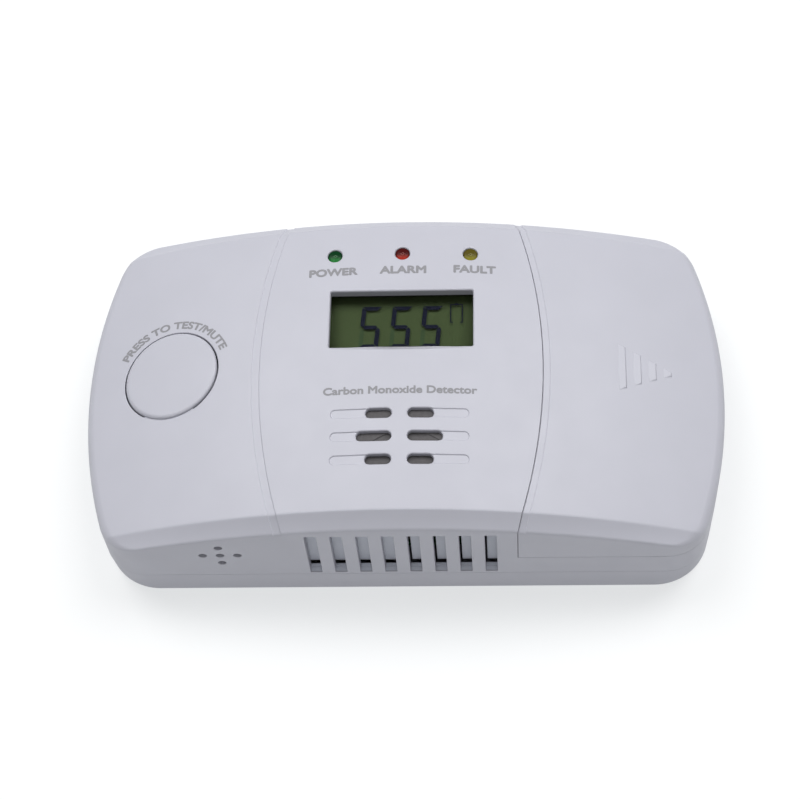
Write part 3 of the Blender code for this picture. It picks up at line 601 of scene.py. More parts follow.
def block(name, low, high, edge=0.15):
    """A box between two corners, with its edges rounded off."""
    (x0, y0, z0), (x1, y1, z1) = low, high
    points = [(x, y, z) for z in (z0, z1) for x, y in ((x0, y0), (x1, y0), (x1, y1), (x0, y1))]
    sides = [(k, (k + 1) % 4, (k + 1) % 4 + 4, k + 4) for k in range(4)]
    made = add_mesh(name, points, [(3, 2, 1, 0), (4, 5, 6, 7)] + sides)
    soften(made, edge)
    return made


def soften(piece, edge):
    """Rounds a piece's sharp edges with a modifier, and keeps its flat faces flat."""
    bevel = piece.modifiers.new("soft_edges", "BEVEL")
    bevel.width = edge * MM
    bevel.segments = 3
    bevel.limit_method = "ANGLE"
    bevel.angle_limit = radians(SHARP)
    bevel.harden_normals = True
    return piece


# ---- front cover ---------------------------------------------------------------------------------
def slot_boxes():
    """The six sound slots, each with the y of its row."""
    for row, outer in enumerate(SLOT_OUTER):
        y = SLOT_TOP - SLOT_HALF - row * SLOT_PITCH
        for side in (-1, 1):
            yield row, side, y, outer


def stadium(side, start, end, y, fillet):
    x0, x1 = sorted((side * start, side * end))
    return Box(x0, y - SLOT_HALF, x1, y + SLOT_HALF, SLOT_HALF, fillet)


CHANNELS = [stadium(side, SLOT_INNER, CHANNEL_OUTER, y, CHANNEL_ROUND) for _, side, y, _ in slot_boxes()]
SLOTS = [stadium(side, SLOT_INNER, outer, y, SLOT_ROUND) for _, side, y, outer in slot_boxes()]
LED_HOLES = [Round(k * LED_PITCH, LED_Y, LED_HOLE, LED_HOLE_ROUND, 40) for k in (-1, 0, 1)]
WINDOW_HOLE = Box(-WINDOW[0], WINDOW[1], WINDOW[0], WINDOW[2], WINDOW_CORNER, WINDOW_ROUND)
BUTTON_OPENING = Round(BUTTON_X, BUTTON_Y, BUTTON_HOLE, BUTTON_HOLE_ROUND, 96)
FACE_HOLES = [WINDOW_HOLE, BUTTON_OPENING, *LED_HOLES]


def groove_drop(x, y, side):
    """The shallow band that runs beside the middle panel."""
    across = side * x - seam(y)
    outer = 1 - smooth((across - GROOVE_SPAN[side]) / GROOVE_OUTER)
    return GROOVE_DEPTH * slant_factor(x, y) * smooth(across / GROOVE_INNER) * outer


def groove_rows(side):
    """Distances from the seam at which the groove's walls get rows of points."""
    inner = [GROOVE_INNER * k / 4 for k in range(5)] if side < 0 else [GROOVE_INNER, 1.5 * GROOVE_INNER]
    return inner + [GROOVE_SPAN[side] + GROOVE_OUTER * k / 4 for k in range(5)]


def front_height(x, y):
    drop = groove_drop(x, y, -1) + edge_drop(seam(y) - SEAM_GAP - x, SEAM_ROUND)
    for channel in CHANNELS:
        drop = drop + CHANNEL_DEPTH * smooth(-channel.distance(x, y) / channel.fillet)
    for hole in FACE_HOLES + SLOTS:
        drop = drop + edge_drop(hole.distance(x, y), hole.fillet)
    return body_height(x, y) - drop


def seam_line(offset, side=1):
    ys = [-HALF_HEIGHT - 1, *np.linspace(-HALF_HEIGHT, HALF_HEIGHT, 37), HALF_HEIGHT + 1]
    return [(side * (float(seam(y)) + offset), float(y)) for y in ys]


def dots(limit, step=3.0):
    """An even scatter of plan points that lie further in than the limit."""
    grid = [(x * step + (y % 2) * step / 2, y * step * 0.87)
            for x in range(-24, 24) for y in range(-14, 15)]
    return [p for p in grid if casing_depth(*np.array(p)) > limit]


def add_hole(plan, hole):
    for share in FILLET_ROWS[1:]:
        plan.line(hole.ring(share * hole.fillet), True)
    plan.hole(hole.ring())


def casing_plan():
    plan = Plan()
    plan.region(outline())
    for inset in SHOULDER_ROWS[1:]:
        plan.line(outline(inset), True)
    for inset in RIDGE_ROWS:
        y = HALF_HEIGHT - inset
        reach = CORNER_X + sqrt((CORNER_RADIUS - 0.25) ** 2 - (y - CORNER_Y) ** 2)
        for side, end in ((1, 1), (1, -1), (-1, 1), (-1, -1)):
            plan.line([(side * CORNER_X, end * y), (side * reach, end * y)])
    plan.dots(dots(SHOULDER_ROWS[-1] + 1))
    return plan


def unmoved(x, y):
    return x, y


def add_face(sheet, plan, height, inner=inner_height, push=inner_place):
    """Lifts a triangulated plan to a shell's face, and returns its plan points and faces."""
    points, faces = plan.triangles()
    x, y = points.T

    def outer_lift(u, v):
        return np.stack([u, v, height(u, v)], -1)

    def inner_lift(u, v):
        px, py = push(u, v)
        return np.stack([px, py, inner(px, py)], -1)

    outer_normals, inner_normals = (surface_normals(lift, x, y) for lift in (outer_lift, inner_lift))
    sheet.add(outer_lift(x, y), inner_lift(x, y), outer_normals, -inner_normals, faces)
    return points, faces


def wall_normals(nx, ny, offset, x, z, step=0.004):
    """Normals of a wall that stands back by offset(x, z)."""
    slope_x = (offset(x + step, z) - offset(x - step, z)) / (2 * step)
    slope_z = (offset(x, z + step) - offset(x, z - step)) / (2 * step)
    return unit(np.stack([nx + slope_x * np.abs(ny), ny, slope_z], -1))


def add_skirt(sheet, edges, tops, offset, rows, fade=0):
    """Wall quads under outline edges: edges are pairs of plan points, and tops gives the wall's top."""
    for a, b in edges:
        x, y = np.array([a, b]).T
        nx, ny = outward(x, y)
        top = tops(x, y)
        grid = [top, np.maximum(top - fade, rows[0])] if fade else [top]
        grid += [np.full(2, z) for z in rows]
        outer, inner, normals = [], [], []
        for z in grid:
            back = offset(x, z)
            outer += list(np.stack([x - nx * back, y - ny * back, z], -1))
            inner += list(np.stack([x - nx * WALL, y - ny * WALL, z], -1))
            normals += list(wall_normals(nx, ny, offset, x, z))
        inward = [-unit(np.array([nx[k % 2], ny[k % 2], 0.0])) for k in range(len(outer))]
        faces = [(2 * k + 1, 2 * k, 2 * k + 2, 2 * k + 3) for k in range(len(grid) - 1)]
        sheet.add(outer, inner, normals, inward, faces)


def on_wall(x, y):
    """Whether outline points lie on the straight top or bottom wall."""
    return (np.abs(y) > HALF_HEIGHT - TOUCH) & (np.abs(x) < CORNER_X + TOUCH)


def rim_edges(points, faces):
    """Boundary edges of a face that run along the casing's outline, as pairs of plan points."""
    deep = casing_depth(*points.T)
    return [(points[a], points[b]) for a, b in boundary(faces.tolist()) if max(deep[a], deep[b]) < TOUCH]


def fillet_rows(level, up=1, radius=EDGE_ROUND):
    """Heights of the rows of a rounded edge, towards the level."""
    return [level + up * radius * share for share in reversed(FILLET_ROWS)]


SEAM_WALL_X = float(seam(HALF_HEIGHT))
TOP_REACH = 4  # how far down a wall's inner side is drawn in to meet the face's


def rim_fade(height, x, z):
    """Falls to 0 at the top of a straight wall, where the face's own rounding takes over."""
    return np.clip((height(x, HALF_HEIGHT + 0 * x) - z) / SEAM_FADE, 0, 1)


def front_wall_offset(holes):
    """How far the front cover's straight walls stand back, as a function of x and z."""

    def offset(x, z):
        back = edge_drop(z - COVER_LOW, EDGE_ROUND)
        notch = np.hypot(np.maximum(SEAM_WALL_X - SEAM_GAP - x, 0), np.maximum(LEDGE - z, 0))
        fade = np.where(z > LEDGE, rim_fade(front_height, x, z), 1)
        back = np.maximum(back, edge_drop(notch, SEAM_ROUND) * fade)
        for hole in holes:
            back = np.maximum(back, edge_drop(hole.distance(x, z), hole.fillet))
        return back

    return offset


def vent_holes():
    low, high = VENT_Z
    for x in VENT_PLACES:
        yield Box(x - VENT_HALF, low, x + VENT_HALF, high, VENT_CORNER, EDGE_ROUND, 3)


def vent_sills():
    """The lip that shows inside each vent, in two low steps."""
    steps = [block("sill", (x - SILL_HALF, y0, SILL_LOW), (x + SILL_HALF, y1, top), 0.02)
             for x in VENT_PLACES for y0, y1, top in SILLS]
    return joined("vent_sills", *steps)


def sensor_holes():
    x, z, pitch, radius = SENSOR_HOLES
    for dx, dz in ((0, 0), (1, 0), (-1, 0), (0, 1), (0, -1)):
        yield Round(x + dx * pitch, z + dz * pitch, radius, EDGE_ROUND, 28)


def add_front_wall(sheet, rim, side, holes):
    """The straight bottom (side -1) or top (side 1) wall of the front cover, stepped under the door."""
    tops = sorted({(float(p[0]), float(front_height(p[0], side * HALF_HEIGHT)))
                   for edge in rim for p in edge if on_wall(*p) and p[1] * side > 0})
    seam_edge = SEAM_WALL_X - SEAM_GAP
    fade_low = tops[-1][1] - SEAM_FADE
    offset = front_wall_offset(holes)
    plan = Plan()
    ends = fillet_rows(COVER_LOW)
    ring = tops + [(seam_edge, fade_low), (seam_edge, LEDGE), (CORNER_X, LEDGE)]
    ring += [(CORNER_X, z) for z in fillet_rows(LEDGE, -1, SEAM_ROUND)[::-1][1:] + ends]
    ring += [(-CORNER_X, z) for z in ends[::-1]]
    plan.region([(-side * x, z) for x, z in ring])
    for z in ends[:-1]:
        plan.line([(-CORNER_X, z), (CORNER_X, z)])
    for share in FILLET_ROWS[1:]:
        near = share * SEAM_ROUND
        x, z = seam_edge - near, LEDGE - near
        line = [(x, FAR_Y), (x, fade_low), (x, z), (CORNER_X, z)]
        plan.line([(-side * x, z) for x, z in line])
    for hole in holes:
        add_hole(plan, hole)
    points, faces = plan.triangles()
    u, z = points.T
    x = -side * u
    top = front_height(x, side * HALF_HEIGHT + 0 * x)
    inner_top = inner_height(x, side * (HALF_HEIGHT - WALL) + 0 * x)
    near_top = np.clip((z - top + TOP_REACH) / TOP_REACH, 0, 1)
    squeeze = np.where(x < seam_edge + TOUCH, near_top * (top - inner_top), 0)
    outer = np.stack([x, side * (HALF_HEIGHT - offset(x, z)), z], -1)
    inner = np.stack([x, side * (HALF_HEIGHT - WALL) + 0 * x, z - squeeze], -1)
    normals = wall_normals(0 * x, side + 0 * x, offset, x, z)
    sheet.add(outer, inner, normals, np.tile((0.0, -side, 0.0), (len(x), 1)), faces)


def plain_offset(low, high=None):
    """The setback of a wall whose lower edge, and upper edge if it is given, are rounded."""

    def offset(x, z):
        back = edge_drop(z - low, EDGE_ROUND)
        return back if high is None else np.maximum(back, edge_drop(high - z, SEAM_ROUND))

    return offset


def front_shell():
    plan = casing_plan()
    plan.region([(-FAR_X, -FAR_Y), *seam_line(-SEAM_GAP), (-FAR_X, FAR_Y)])
    for share in FILLET_ROWS[1:]:
        plan.line(seam_line(-SEAM_GAP - share * SEAM_ROUND))
    for across in groove_rows(-1):
        plan.line(seam_line(across, -1))
    for channel in CHANNELS:
        for share in (0, 0.25, 0.5, 0.75, 1):
            plan.line(channel.ring(-share * channel.fillet), True)
    for hole in FACE_HOLES + SLOTS:
        add_hole(plan, hole)
    sheet = Sheet()
    points, faces = add_face(sheet, plan, front_height)
    rim = rim_edges(points, faces)
    curved = [(a, b) for a, b in rim if not (on_wall(*a) and on_wall(*b))]
    add_skirt(sheet, curved, front_height, plain_offset(COVER_LOW), fillet_rows(COVER_LOW))
    add_front_wall(sheet, rim, -1, [*vent_holes(), *sensor_holes()])
    add_front_wall(sheet, rim, 1, [])
    ring = outline()
    pairs = [(np.array(a), np.array(b)) for a, b in zip(ring, ring[1:] + ring[:1]) if a != b]
    right = [(a, b) for a, b in pairs if min(a[0], b[0]) > CORNER_X - TOUCH]
    rows = fillet_rows(LEDGE, -1, SEAM_ROUND)[::-1][1:] + fillet_rows(COVER_LOW)
    add_skirt(sheet, right, lambda x, y: LEDGE + 0 * x, plain_offset(COVER_LOW, LEDGE), rows)
    return joined("front_shell", sheet.mesh("front_shell"), *front_bosses())


def screen_height(x, y):
    """Domed like the face, with a low round step where the sounder's rim shows through."""
    step = np.hypot(x - SCREEN_ROUND[0], y - SCREEN_ROUND[1]) - SCREEN_ROUND[2]
    return dome(x, y) - SCREEN_DEPTH - SCREEN_STEP * smooth(0.5 - step / SCREEN_SLOPE)


def sound_screen():
    """The grey felt that lies close behind the slots."""
    x0, y0, x1, y1 = SLOT_FIELD
    edge = SCREEN_MARGIN
    plan = Plan()
    plan.region(rounded_box(x0 + edge, y0 + edge, x1 - edge, y1 - edge, SLOT_FIELD_CORNER))
    for grow in SCREEN_ROWS:
        plan.line(circle(*SCREEN_ROUND[:2], SCREEN_ROUND[2] + grow, 96), True)
    plan.dots([(x * 1.5, y * 1.5) for x in range(-9, 10) for y in range(-15, -6)])
    sheet = Sheet()
    add_face(sheet, plan, screen_height, lambda x, y: dome(x, y) - SCREEN_UNDER, unmoved)
    return sheet.mesh("sound_screen_felt")


def front_bosses():
    """The four screw bosses that hang from the face, each with a pilot hole."""
    made = []
    for x, y in SCREWS:
        top = float(inner_height(x, y)) + BOSS_BURIED
        bore, root, foot, low = BOSS
        made.append(ring_piece("boss", [(foot, low), (root, top), (bore, top), (bore, low)], (x, y)))
    return made


# ---- battery door --------------------------------------------------------------------------------
def bar_rise(x, y):
    """The four thumb bars: each is a low ramp that climbs to the right, and they shorten to the right."""
    rise = 0 * x
    for k in range(BAR_COUNT):
        start = BAR_X + k * BAR_PITCH
        across = x - start
        half = BAR_HALF - BAR_TAPER * (x - BAR_X)
        inside = np.minimum(np.minimum(across, BAR_WIDTH - across), half - np.abs(y - BAR_Y))
        ramp = mix(BAR_LEFT, 1.0, np.clip(across / BAR_WIDTH, 0, 1))
        rise = rise + BAR_RISE * ramp * smooth(inside / BAR_SOFT + 0.5)
    return rise


def door_height(x, y):
    drop = groove_drop(x, y, 1) + edge_drop(x - seam(y) - SEAM_GAP, SEAM_ROUND)
    return body_height(x, y) - drop + bar_rise(x, y)


def door_inner(x, y):
    return np.maximum(inner_height(x, y), DOOR_LOW + EDGE_ROUND)


def door_offset(x, z):
    seam_edge = edge_drop(x - SEAM_WALL_X - SEAM_GAP, SEAM_ROUND) * rim_fade(door_height, x, z)
    return np.maximum(edge_drop(z - DOOR_LOW, EDGE_ROUND), seam_edge)


def bar_outline(k, grow):
    """The plan of one thumb bar, grown outward or, with a negative value, inward."""
    x0 = BAR_X + k * BAR_PITCH - grow
    x1 = BAR_X + k * BAR_PITCH + BAR_WIDTH + grow
    left, right = (BAR_HALF - BAR_TAPER * (x - BAR_X) + grow for x in (x0, x1))
    return [(x0, BAR_Y - left), (x1, BAR_Y - right), (x1, BAR_Y + right), (x0, BAR_Y + left)]


def door_shell():
    plan = casing_plan()
    plan.region([*seam_line(SEAM_GAP)[::-1], (FAR_X, -FAR_Y), (FAR_X, FAR_Y)])
    for share in FILLET_ROWS[1:]:
        plan.line(seam_line(SEAM_GAP + share * SEAM_ROUND))
    for across in groove_rows(1):
        plan.line(seam_line(across))
    for k in range(BAR_COUNT):
        for grow in BAR_ROWS:
            plan.line(bar_outline(k, grow), True)
    sheet = Sheet()
    points, faces = add_face(sheet, plan, door_height, door_inner)
    rows = fillet_rows(DOOR_LOW)
    add_skirt(sheet, rim_edges(points, faces), door_height, door_offset, rows, SEAM_FADE)
    return joined("door_shell", sheet.mesh("door_shell"), *door_ribs())


def door_ribs():
    """The two ribs that the door slides on."""
    (x0, y0, z0), (x1, y1, z1) = DOOR_RIB
    return [block("rib", (x0, min(s * y0, s * y1), z0), (x1, max(s * y0, s * y1), z1)) for s in (-1, 1)]


# ---- test button ---------------------------------------------------------------------------------
def button_height(x, y):
    inward = BUTTON_RADIUS - np.hypot(x - DISC[0], y - DISC[1])
    return dome(x, y) + BUTTON_RISE - edge_drop(inward, BUTTON_ROUND)


def button_shell():
    plan = Plan()
    plan.region(circle(*DISC, BUTTON_RADIUS, 96))
    for share in BUTTON_ROWS:
        plan.line(circle(*DISC, BUTTON_RADIUS - share * BUTTON_ROUND, 96), True)
    plan.dots([DISC])
    sheet = Sheet()
    under = BUTTON_SKIN - BUTTON_RISE
    add_face(sheet, plan, button_height, lambda x, y: dome(x, y) - under, unmoved)
    low, high = POST_Z
    profile = [(0, low, 0), (POST_RADIUS, low, 0.2), (POST_RADIUS, high, 0), (0, high, 0)]
    post = lathe("post", rounded_profile(profile), (BUTTON_X, POST_Y, 0), 32)
    return joined("button_shell", sheet.mesh("button_shell"), post)


def web_height(x, y):
    return dome(x, y) - WEB_TOP


def hinge_web():
    """The moulded strip that fills the gap at the bottom of the button; on the alarm it bends as the
    button is pressed, and here it is a fixed sheet.
    """
    half, inner, outer = radians(WEB_HALF), BUTTON_RADIUS - WEB_OVERLAP, BUTTON_HOLE + WEB_OVERLAP
    turns = [-pi / 2 - half + 2 * half * k / 32 for k in range(33)]
    ring = [(BUTTON_X + outer * cos(a), BUTTON_Y + outer * sin(a)) for a in turns]
    ring += [(BUTTON_X + inner * cos(a), BUTTON_Y + inner * sin(a)) for a in reversed(turns)]
    plan = Plan()
    plan.region(ring)
    sheet = Sheet()
    add_face(sheet, plan, web_height, lambda x, y: dome(x, y) - WEB_UNDER, unmoved)
    return sheet.mesh("hinge_web")


# ---- rear cover ----------------------------------------------------------------------------------
SCREWS = ((-54.5, 26.0), (-54.5, -26.0), (19.2, 29.0), (19.2, -28.0))
BOSS = (1.5, 2.6, 3.0, 5.3)  # radii of the bore, the root and the foot, and the foot's z
BOSS_BURIED = 0.6
KEYHOLES = (-40.0, 40.0)
KEYHOLE = (8.0, 3.75, 1.9, 9.0)  # y of the round part, its radius, half the slot, its reach
REAR_FLOOR = 2.0
REAR_LEVELS = ((REAR_HIGH, 0.05, 0), (0.8, 0.1, 0), (0.55, 0.13, 15), (0.3, 0.24, 35), (0.12, 0.42, 55),
               (0.03, 0.62, 75), (0.0, 0.8, 90))  # z, inset, and degrees turned towards the back
RIM_SPAN = 2.5  # points nearer to the outline than this belong to the rim
WELL_RADIUS = 2.75
WELL = ((3.1, 1.9), (3.1, 5.0), (1.6, 5.0), (1.6, 2.6), (2.76, 2.6), (2.76, 0.2))  # its section


def keyhole_ring(x):
    y, radius, half, reach = KEYHOLE
    bend = asin(half / radius)
    sweep = [pi / 2 + bend + (2 * pi - 2 * bend) * k / 40 for k in range(41)]
    ring = [(x + radius * cos(a), y + radius * sin(a)) for a in sweep]
    return ring + [(x + half * cos(pi * k / 12), y + reach + half * sin(pi * k / 12)) for k in range(13)]


def rear_shell():
    """The dish behind: a flat back with keyholes and screw wells, and a rim up to the parting line."""
    plan = Plan()
    inset = REAR_LEVELS[-1][1]
    plan.region(outline(inset, BACK_CORNER_RADIUS))
    for x in KEYHOLES:
        plan.hole(keyhole_ring(x))
    for x, y in SCREWS:
        plan.hole(circle(x, y, WELL_RADIUS, 40))
    points, faces = plan.triangles()
    count = len(points)
    outer = np.column_stack([points, np.zeros(count)])
    push = np.where(casing_depth(*points.T) < RIM_SPAN, WALL - inset, 0)
    inner = drawn_in(points, push, REAR_FLOOR)
    down, up = (np.tile((0.0, 0.0, z), (count, 1)) for z in (-1.0, 1.0))
    sheet = Sheet()
    sheet.add(outer, inner, down, up, faces[:, ::-1])
    corners = [CORNER_RADIUS] + [BACK_CORNER_RADIUS] * (len(REAR_LEVELS) - 1)
    rings = [np.array(outline(level[1], corner)) for level, corner in zip(REAR_LEVELS, corners)]
    for k in range(len(REAR_LEVELS) - 1):
        add_band(sheet, rings[k:k + 2], REAR_LEVELS[k:k + 2])
    wells = [ring_piece("screw_well", WELL, place) for place in SCREWS]
    return joined("rear_shell", sheet.mesh("rear_shell"), *wells)


def drawn_in(ring, push, z):
    """Plan points moved inward, as points at height z."""
    nx, ny = outward(*ring.T)
    return np.column_stack([ring[:, 0] - nx * push, ring[:, 1] - ny * push, np.full(len(ring), z)])


def add_band(sheet, rings, levels):
    """One band of the rear cover's rim, between two of its levels."""
    count = len(rings[0])
    points, partners, normals, inward = [], [], [], []
    for ring, (z, inset, tilt) in zip(rings, levels):
        nx, ny = outward(*ring.T)
        flat, fall = cos(radians(tilt)), -sin(radians(tilt))
        points += list(drawn_in(ring, 0, z))
        partners += list(drawn_in(ring, WALL - inset, max(z, REAR_FLOOR)))
        normals += list(np.column_stack([nx * flat, ny * flat, np.full(count, fall)]))
        inward += list(np.column_stack([-nx, -ny, np.zeros(count)]))
    faces = [(j, count + j, count + (j + 1) % count, (j + 1) % count) for j in range(count)]
    sheet.add(points, partners, normals, inward, faces)


# ---- thin printed and cut pieces -----------------------------------------------------------------
PRINT_RISE = 0.03
LEGENDS = (("POWER", 1.95, 10.1, 0.13, -14.2, 20.25), ("ALARM", 1.95, 9.6, 0.13, 0.2, 20.3),
           ("FAULT", 1.95, 8.7, 0.13, 14.9, 20.55),
           ("Carbon Monoxide Detector", 1.75, 30.8, 0.09, 0.0, -8.05))  # height, width, weight, x and y
ARC_LEGEND = ("PRESS TO TEST/MUTE", 1.8, 24.9, 0.09)
ARC_PLACE = (11.0, 87)  # radius, and the angle of its middle


def plate(name, rings, low, high):
    """Thin flat pieces, each cut to a plan ring."""
    points, faces = [], []
    for ring in rings:
        ring = ring if area(ring) > 0 else ring[::-1]
        first, count = len(points), len(ring)
        points += [(x, y, z) for z in (low, high) for x, y in ring]
        faces.append(tuple(range(first + count - 1, first - 1, -1)))
        faces.append(tuple(range(first + count, first + 2 * count)))
        for k in range(count):
            on = (k + 1) % count
            faces.append((first + k, first + on, first + count + on, first + count + k))
    return creased(name, points, faces)


def text_loops(text):
    """The outlines of a line of text, as closed plan rings."""
    curve = bpy.data.curves.new("text", "FONT")
    curve.body = text
    curve.fill_mode = "NONE"
    curve.resolution_u = 4
    made = linked("text", curve)
    bpy.context.view_layer.update()
    data = bpy.data.meshes.new_from_object(made.evaluated_get(bpy.context.evaluated_depsgraph_get()))
    bpy.data.objects.remove(made)
    nearby = {}
    for edge in data.edges:
        a, b = edge.vertices
        nearby.setdefault(a, []).append(b)
        nearby.setdefault(b, []).append(a)
    loops, seen = [], set()
    for start in sorted(nearby):
        loop, here = [], start
        while here not in seen:
            seen.add(here)
            loop.append(tuple(data.vertices[here].co[:2]))
            here = next((k for k in nearby[here] if k not in seen), here)
        if len(loop) > 2:
            loops.append(loop)
    return loops


def lettering(name, text, cap, width, weight, bend):
    """Raised print, fitted to a height and a width, thickened by a weight, and bent to its place."""
    loops = text_loops(text)
    flat = np.array([p for loop in loops for p in loop])
    low, high = flat.min(0), flat.max(0)
    scale = np.array([width - 2 * weight, cap - 2 * weight]) / (high - low)
    middle = np.array([(low[0] + high[0]) / 2, low[1]])
    shifts = [(0, 0)] + circle(0, 0, weight, 8)
    plan = Plan()
    for shift in shifts:
        for loop in loops:
            plan.region([tuple((np.array(p) - middle) * scale + shift + (0, weight)) for p in loop])
    points, faces = plan.filled(len(loops))
    x, y = bend(*points.T)
    lift = np.stack([x, y, dome(x, y)], -1)
    up = surface_normals(lambda u, v: np.stack([u, v, dome(u, v)], -1), x, y)
    sheet = Sheet()
    sheet.add(lift + up * PRINT_RISE, lift - up * PRINT_RISE, up, -up, faces)
    return sheet.mesh(name, 0.0001)


def straight(centre, base):
    return lambda x, y: (x + centre, y + base)


def around_button(radius, middle):
    """Bends a line of text round the button, with its middle at an angle in degrees."""

    def bend(x, y):
        turn = radians(middle) - x / radius
        return BUTTON_X + (radius + y) * np.cos(turn), BUTTON_Y + (radius + y) * np.sin(turn)

    return bend


# ---- display -------------------------------------------------------------------------------------
SEGMENTS_TOP = 28.6
GHOSTS_TOP = 28.04
DISPLAY_PLAN = ((-18.5, 0.2), (18.5, 19.2))
DISPLAY_BACK_Z = (26.6, 28.0)
PANE_Z = (28.62, 28.8)
DIGIT = (4.1, 9.75, 0.88, 0.09)  # width, height, stroke, gap
DIGIT_SLANT = 0.085
DIGIT_PITCH = 6.27
DIGIT_PLACE = (-9.05, 5.05)  # lower left corner of the first
DIGIT_COUNT = 3
FILM = 0.03  # thickness of the segments
BATTERY_ICON = (9.8, 10.77, 12.39, 15.18)
ICON_LINE = 0.22
ICON_FOOT = 0.55
ICON_CAP = (0.95, 0.18)  # its inset from each side, and its height
FRAME_HOLE = (-15.5, 2.1, 15.5, 17.1)
FRAME_PLAN = (-17.2, 0.9, 17.2, 18.3)


def segment_rings(letters):
    """Plan rings of the named segments of one digit, upright, from its lower left corner."""
    w, h, t, g = DIGIT
    m = h / 2
    half = t / 2
    left = [(0, h - g), (t, h - t - g), (t, m + half + g), (half, m + g), (0, m + half + g)]
    low_left = [(x, h - y) for x, y in left]
    shapes = {
        "a": [(g, h), (w - g, h), (w - t - g, h - t), (t + g, h - t)],
        "f": left,
        "e": low_left,
        "b": [(w - x, y) for x, y in left],
        "c": [(w - x, y) for x, y in low_left],
        "d": [(g, 0), (w - g, 0), (w - t - g, t), (t + g, t)],
        "g": [(half + g, m), (t + g, m + half), (w - t - g, m + half), (w - half - g, m),
              (w - t - g, m - half), (t + g, m - half)],
    }
    return [shapes[letter] for letter in letters]


def digits(name, letters, top):
    """Three slanted digits that show the same segments."""
    rings = []
    x0, y0 = DIGIT_PLACE
    for k in range(DIGIT_COUNT):
        for ring in segment_rings(letters):
            rings.append([(x0 + k * DIGIT_PITCH + x + DIGIT_SLANT * y, y0 + y) for x, y in ring])
    return plate(name, rings, top - FILM, top)


def battery_icon():
    x0, y0, x1, y1 = BATTERY_ICON
    line, foot = ICON_LINE, ICON_FOOT
    inset, cap = ICON_CAP
    spans = [(x0, y0, x0 + line, y1), (x1 - line, y0, x1, y1), (x0 + line, y1 - line, x1 - line, y1),
             (x0 + line, y0, x0 + foot, y0 + line), (x1 - foot, y0, x1 - line, y0 + line),
             (x0 + inset, y1, x1 - inset, y1 + cap)]
    rings = [[(a, b), (c, b), (c, d), (a, d)] for a, b, c, d in spans]
    return plate("display_battery_mark", rings, SEGMENTS_TOP - FILM, SEGMENTS_TOP)


def display_frame():
    """The black surround between the glass and the underside of the cover; its black also stands in as
    painted shade for the gap under the window's rim.
    """
    plan = Plan()
    plan.region(rounded_box(*FRAME_PLAN, 0.8))
    plan.hole(rounded_box(*FRAME_HOLE, 0.5))
    sheet = Sheet()
    top, low = WALL + 0.06, PANE_Z[1] + 0.06
    add_face(sheet, plan, lambda x, y: dome(x, y) - top, lambda x, y: low + 0 * x, unmoved)
    return sheet.mesh("display_frame")


# ---- lamps ---------------------------------------------------------------------------------------
LENS_SINK = 0.08
LENS_CROWN = 0.22  # the rise of its low dome
LENS_ROUND = 0.3
LAMP_LENGTH = 5.5
FLANGE_RADIUS = 1.9
CUP_LIFT = 0.012
CUP_SHIFT = (0.08, -0.1)
CUP_RING = (0.2, 0.27)  # radii
CUP_ARM = ((0.42, 0.12), (0.5, 0.12), (0.55, -0.1), (0.48, -0.1))


def lamp_top(x):
    return float(dome(x, LED_Y)) - LENS_SINK


def lamp(name, x):
    """A 3 mm lamp: flange, barrel and a low lens."""
    top = lamp_top(x)
    low = top - LAMP_LENGTH
    edge = [(0, low, 0), (FLANGE_RADIUS, low, 0.12), (FLANGE_RADIUS, low + 1, 0.12),
            (LED_RADIUS, low + 1, 0.05), (LED_RADIUS, top - LENS_ROUND, LENS_ROUND)]
    crown = [(r, top - LENS_CROWN * (r / LED_RADIUS) ** 2) for r in (1.05, 0.8, 0.5, 0.25, 0)]
    return lathe(name, rounded_profile([*edge, (*crown[0], 0)]) + crown[1:], (x, LED_Y, 0), 48)


def reflector_glint(name, x):
    """The small reflector inside the lens, as a pale ring between two short arms laid on the lens: partly
    its own metal, partly a painted glint.
    """
    z = lamp_top(x) + CUP_LIFT
    low = z - 0.03
    inner, outer = CUP_RING
    middle = (x + CUP_SHIFT[0], LED_Y + CUP_SHIFT[1])
    ring = ring_piece("cup", [(outer, low), (outer, z), (inner, z), (inner, low)], middle, 24)
    arms = [[(middle[0] + s * a, middle[1] + b) for a, b in CUP_ARM] for s in (-1, 1)]
    return joined(name, ring, plate("arms", arms, z - 0.05, z - 0.02))


# ---- power ---------------------------------------------------------------------------------------
CELL_RADIUS = 7.25
CELL_Z = 12.75
CELLS = ((36.1, -1), (50.9, 1))
CELL_END = 24.0
CELL_PROFILE = ((0, 0, 0), (4.6, 0, 0.3), (5.0, 0.35, 0.15), (6.5, 0.35, 0.2), (6.85, 0.05, 0.15),
                (CELL_RADIUS, 0.5, 0.35), (CELL_RADIUS, 48.7, 0.4), (6.7, 49.15, 0.15), (6.4, 48.95, 0.1),
                (3.0, 48.95, 0.2), (2.75, 50.5, 0.35), (0, 50.5, 0))  # radius, z and fillet
SPRING_RADIUS = 3.4
SPRING_TAPER = 0.3
SPRING_TURNS = 2.25
SPRING_Y = (27.0, 24.6)
SPRING_STEPS = 90
WIRE_RADIUS = 0.3


def cell(name, x, sign):
    """A round cell along Y, with crimped ends and a raised positive end that points to sign * Y."""
    axis = "Y" if sign > 0 else "-Y"
    return lathe(name, rounded_profile(CELL_PROFILE), (x, -sign * CELL_END, CELL_Z), 72, axis)


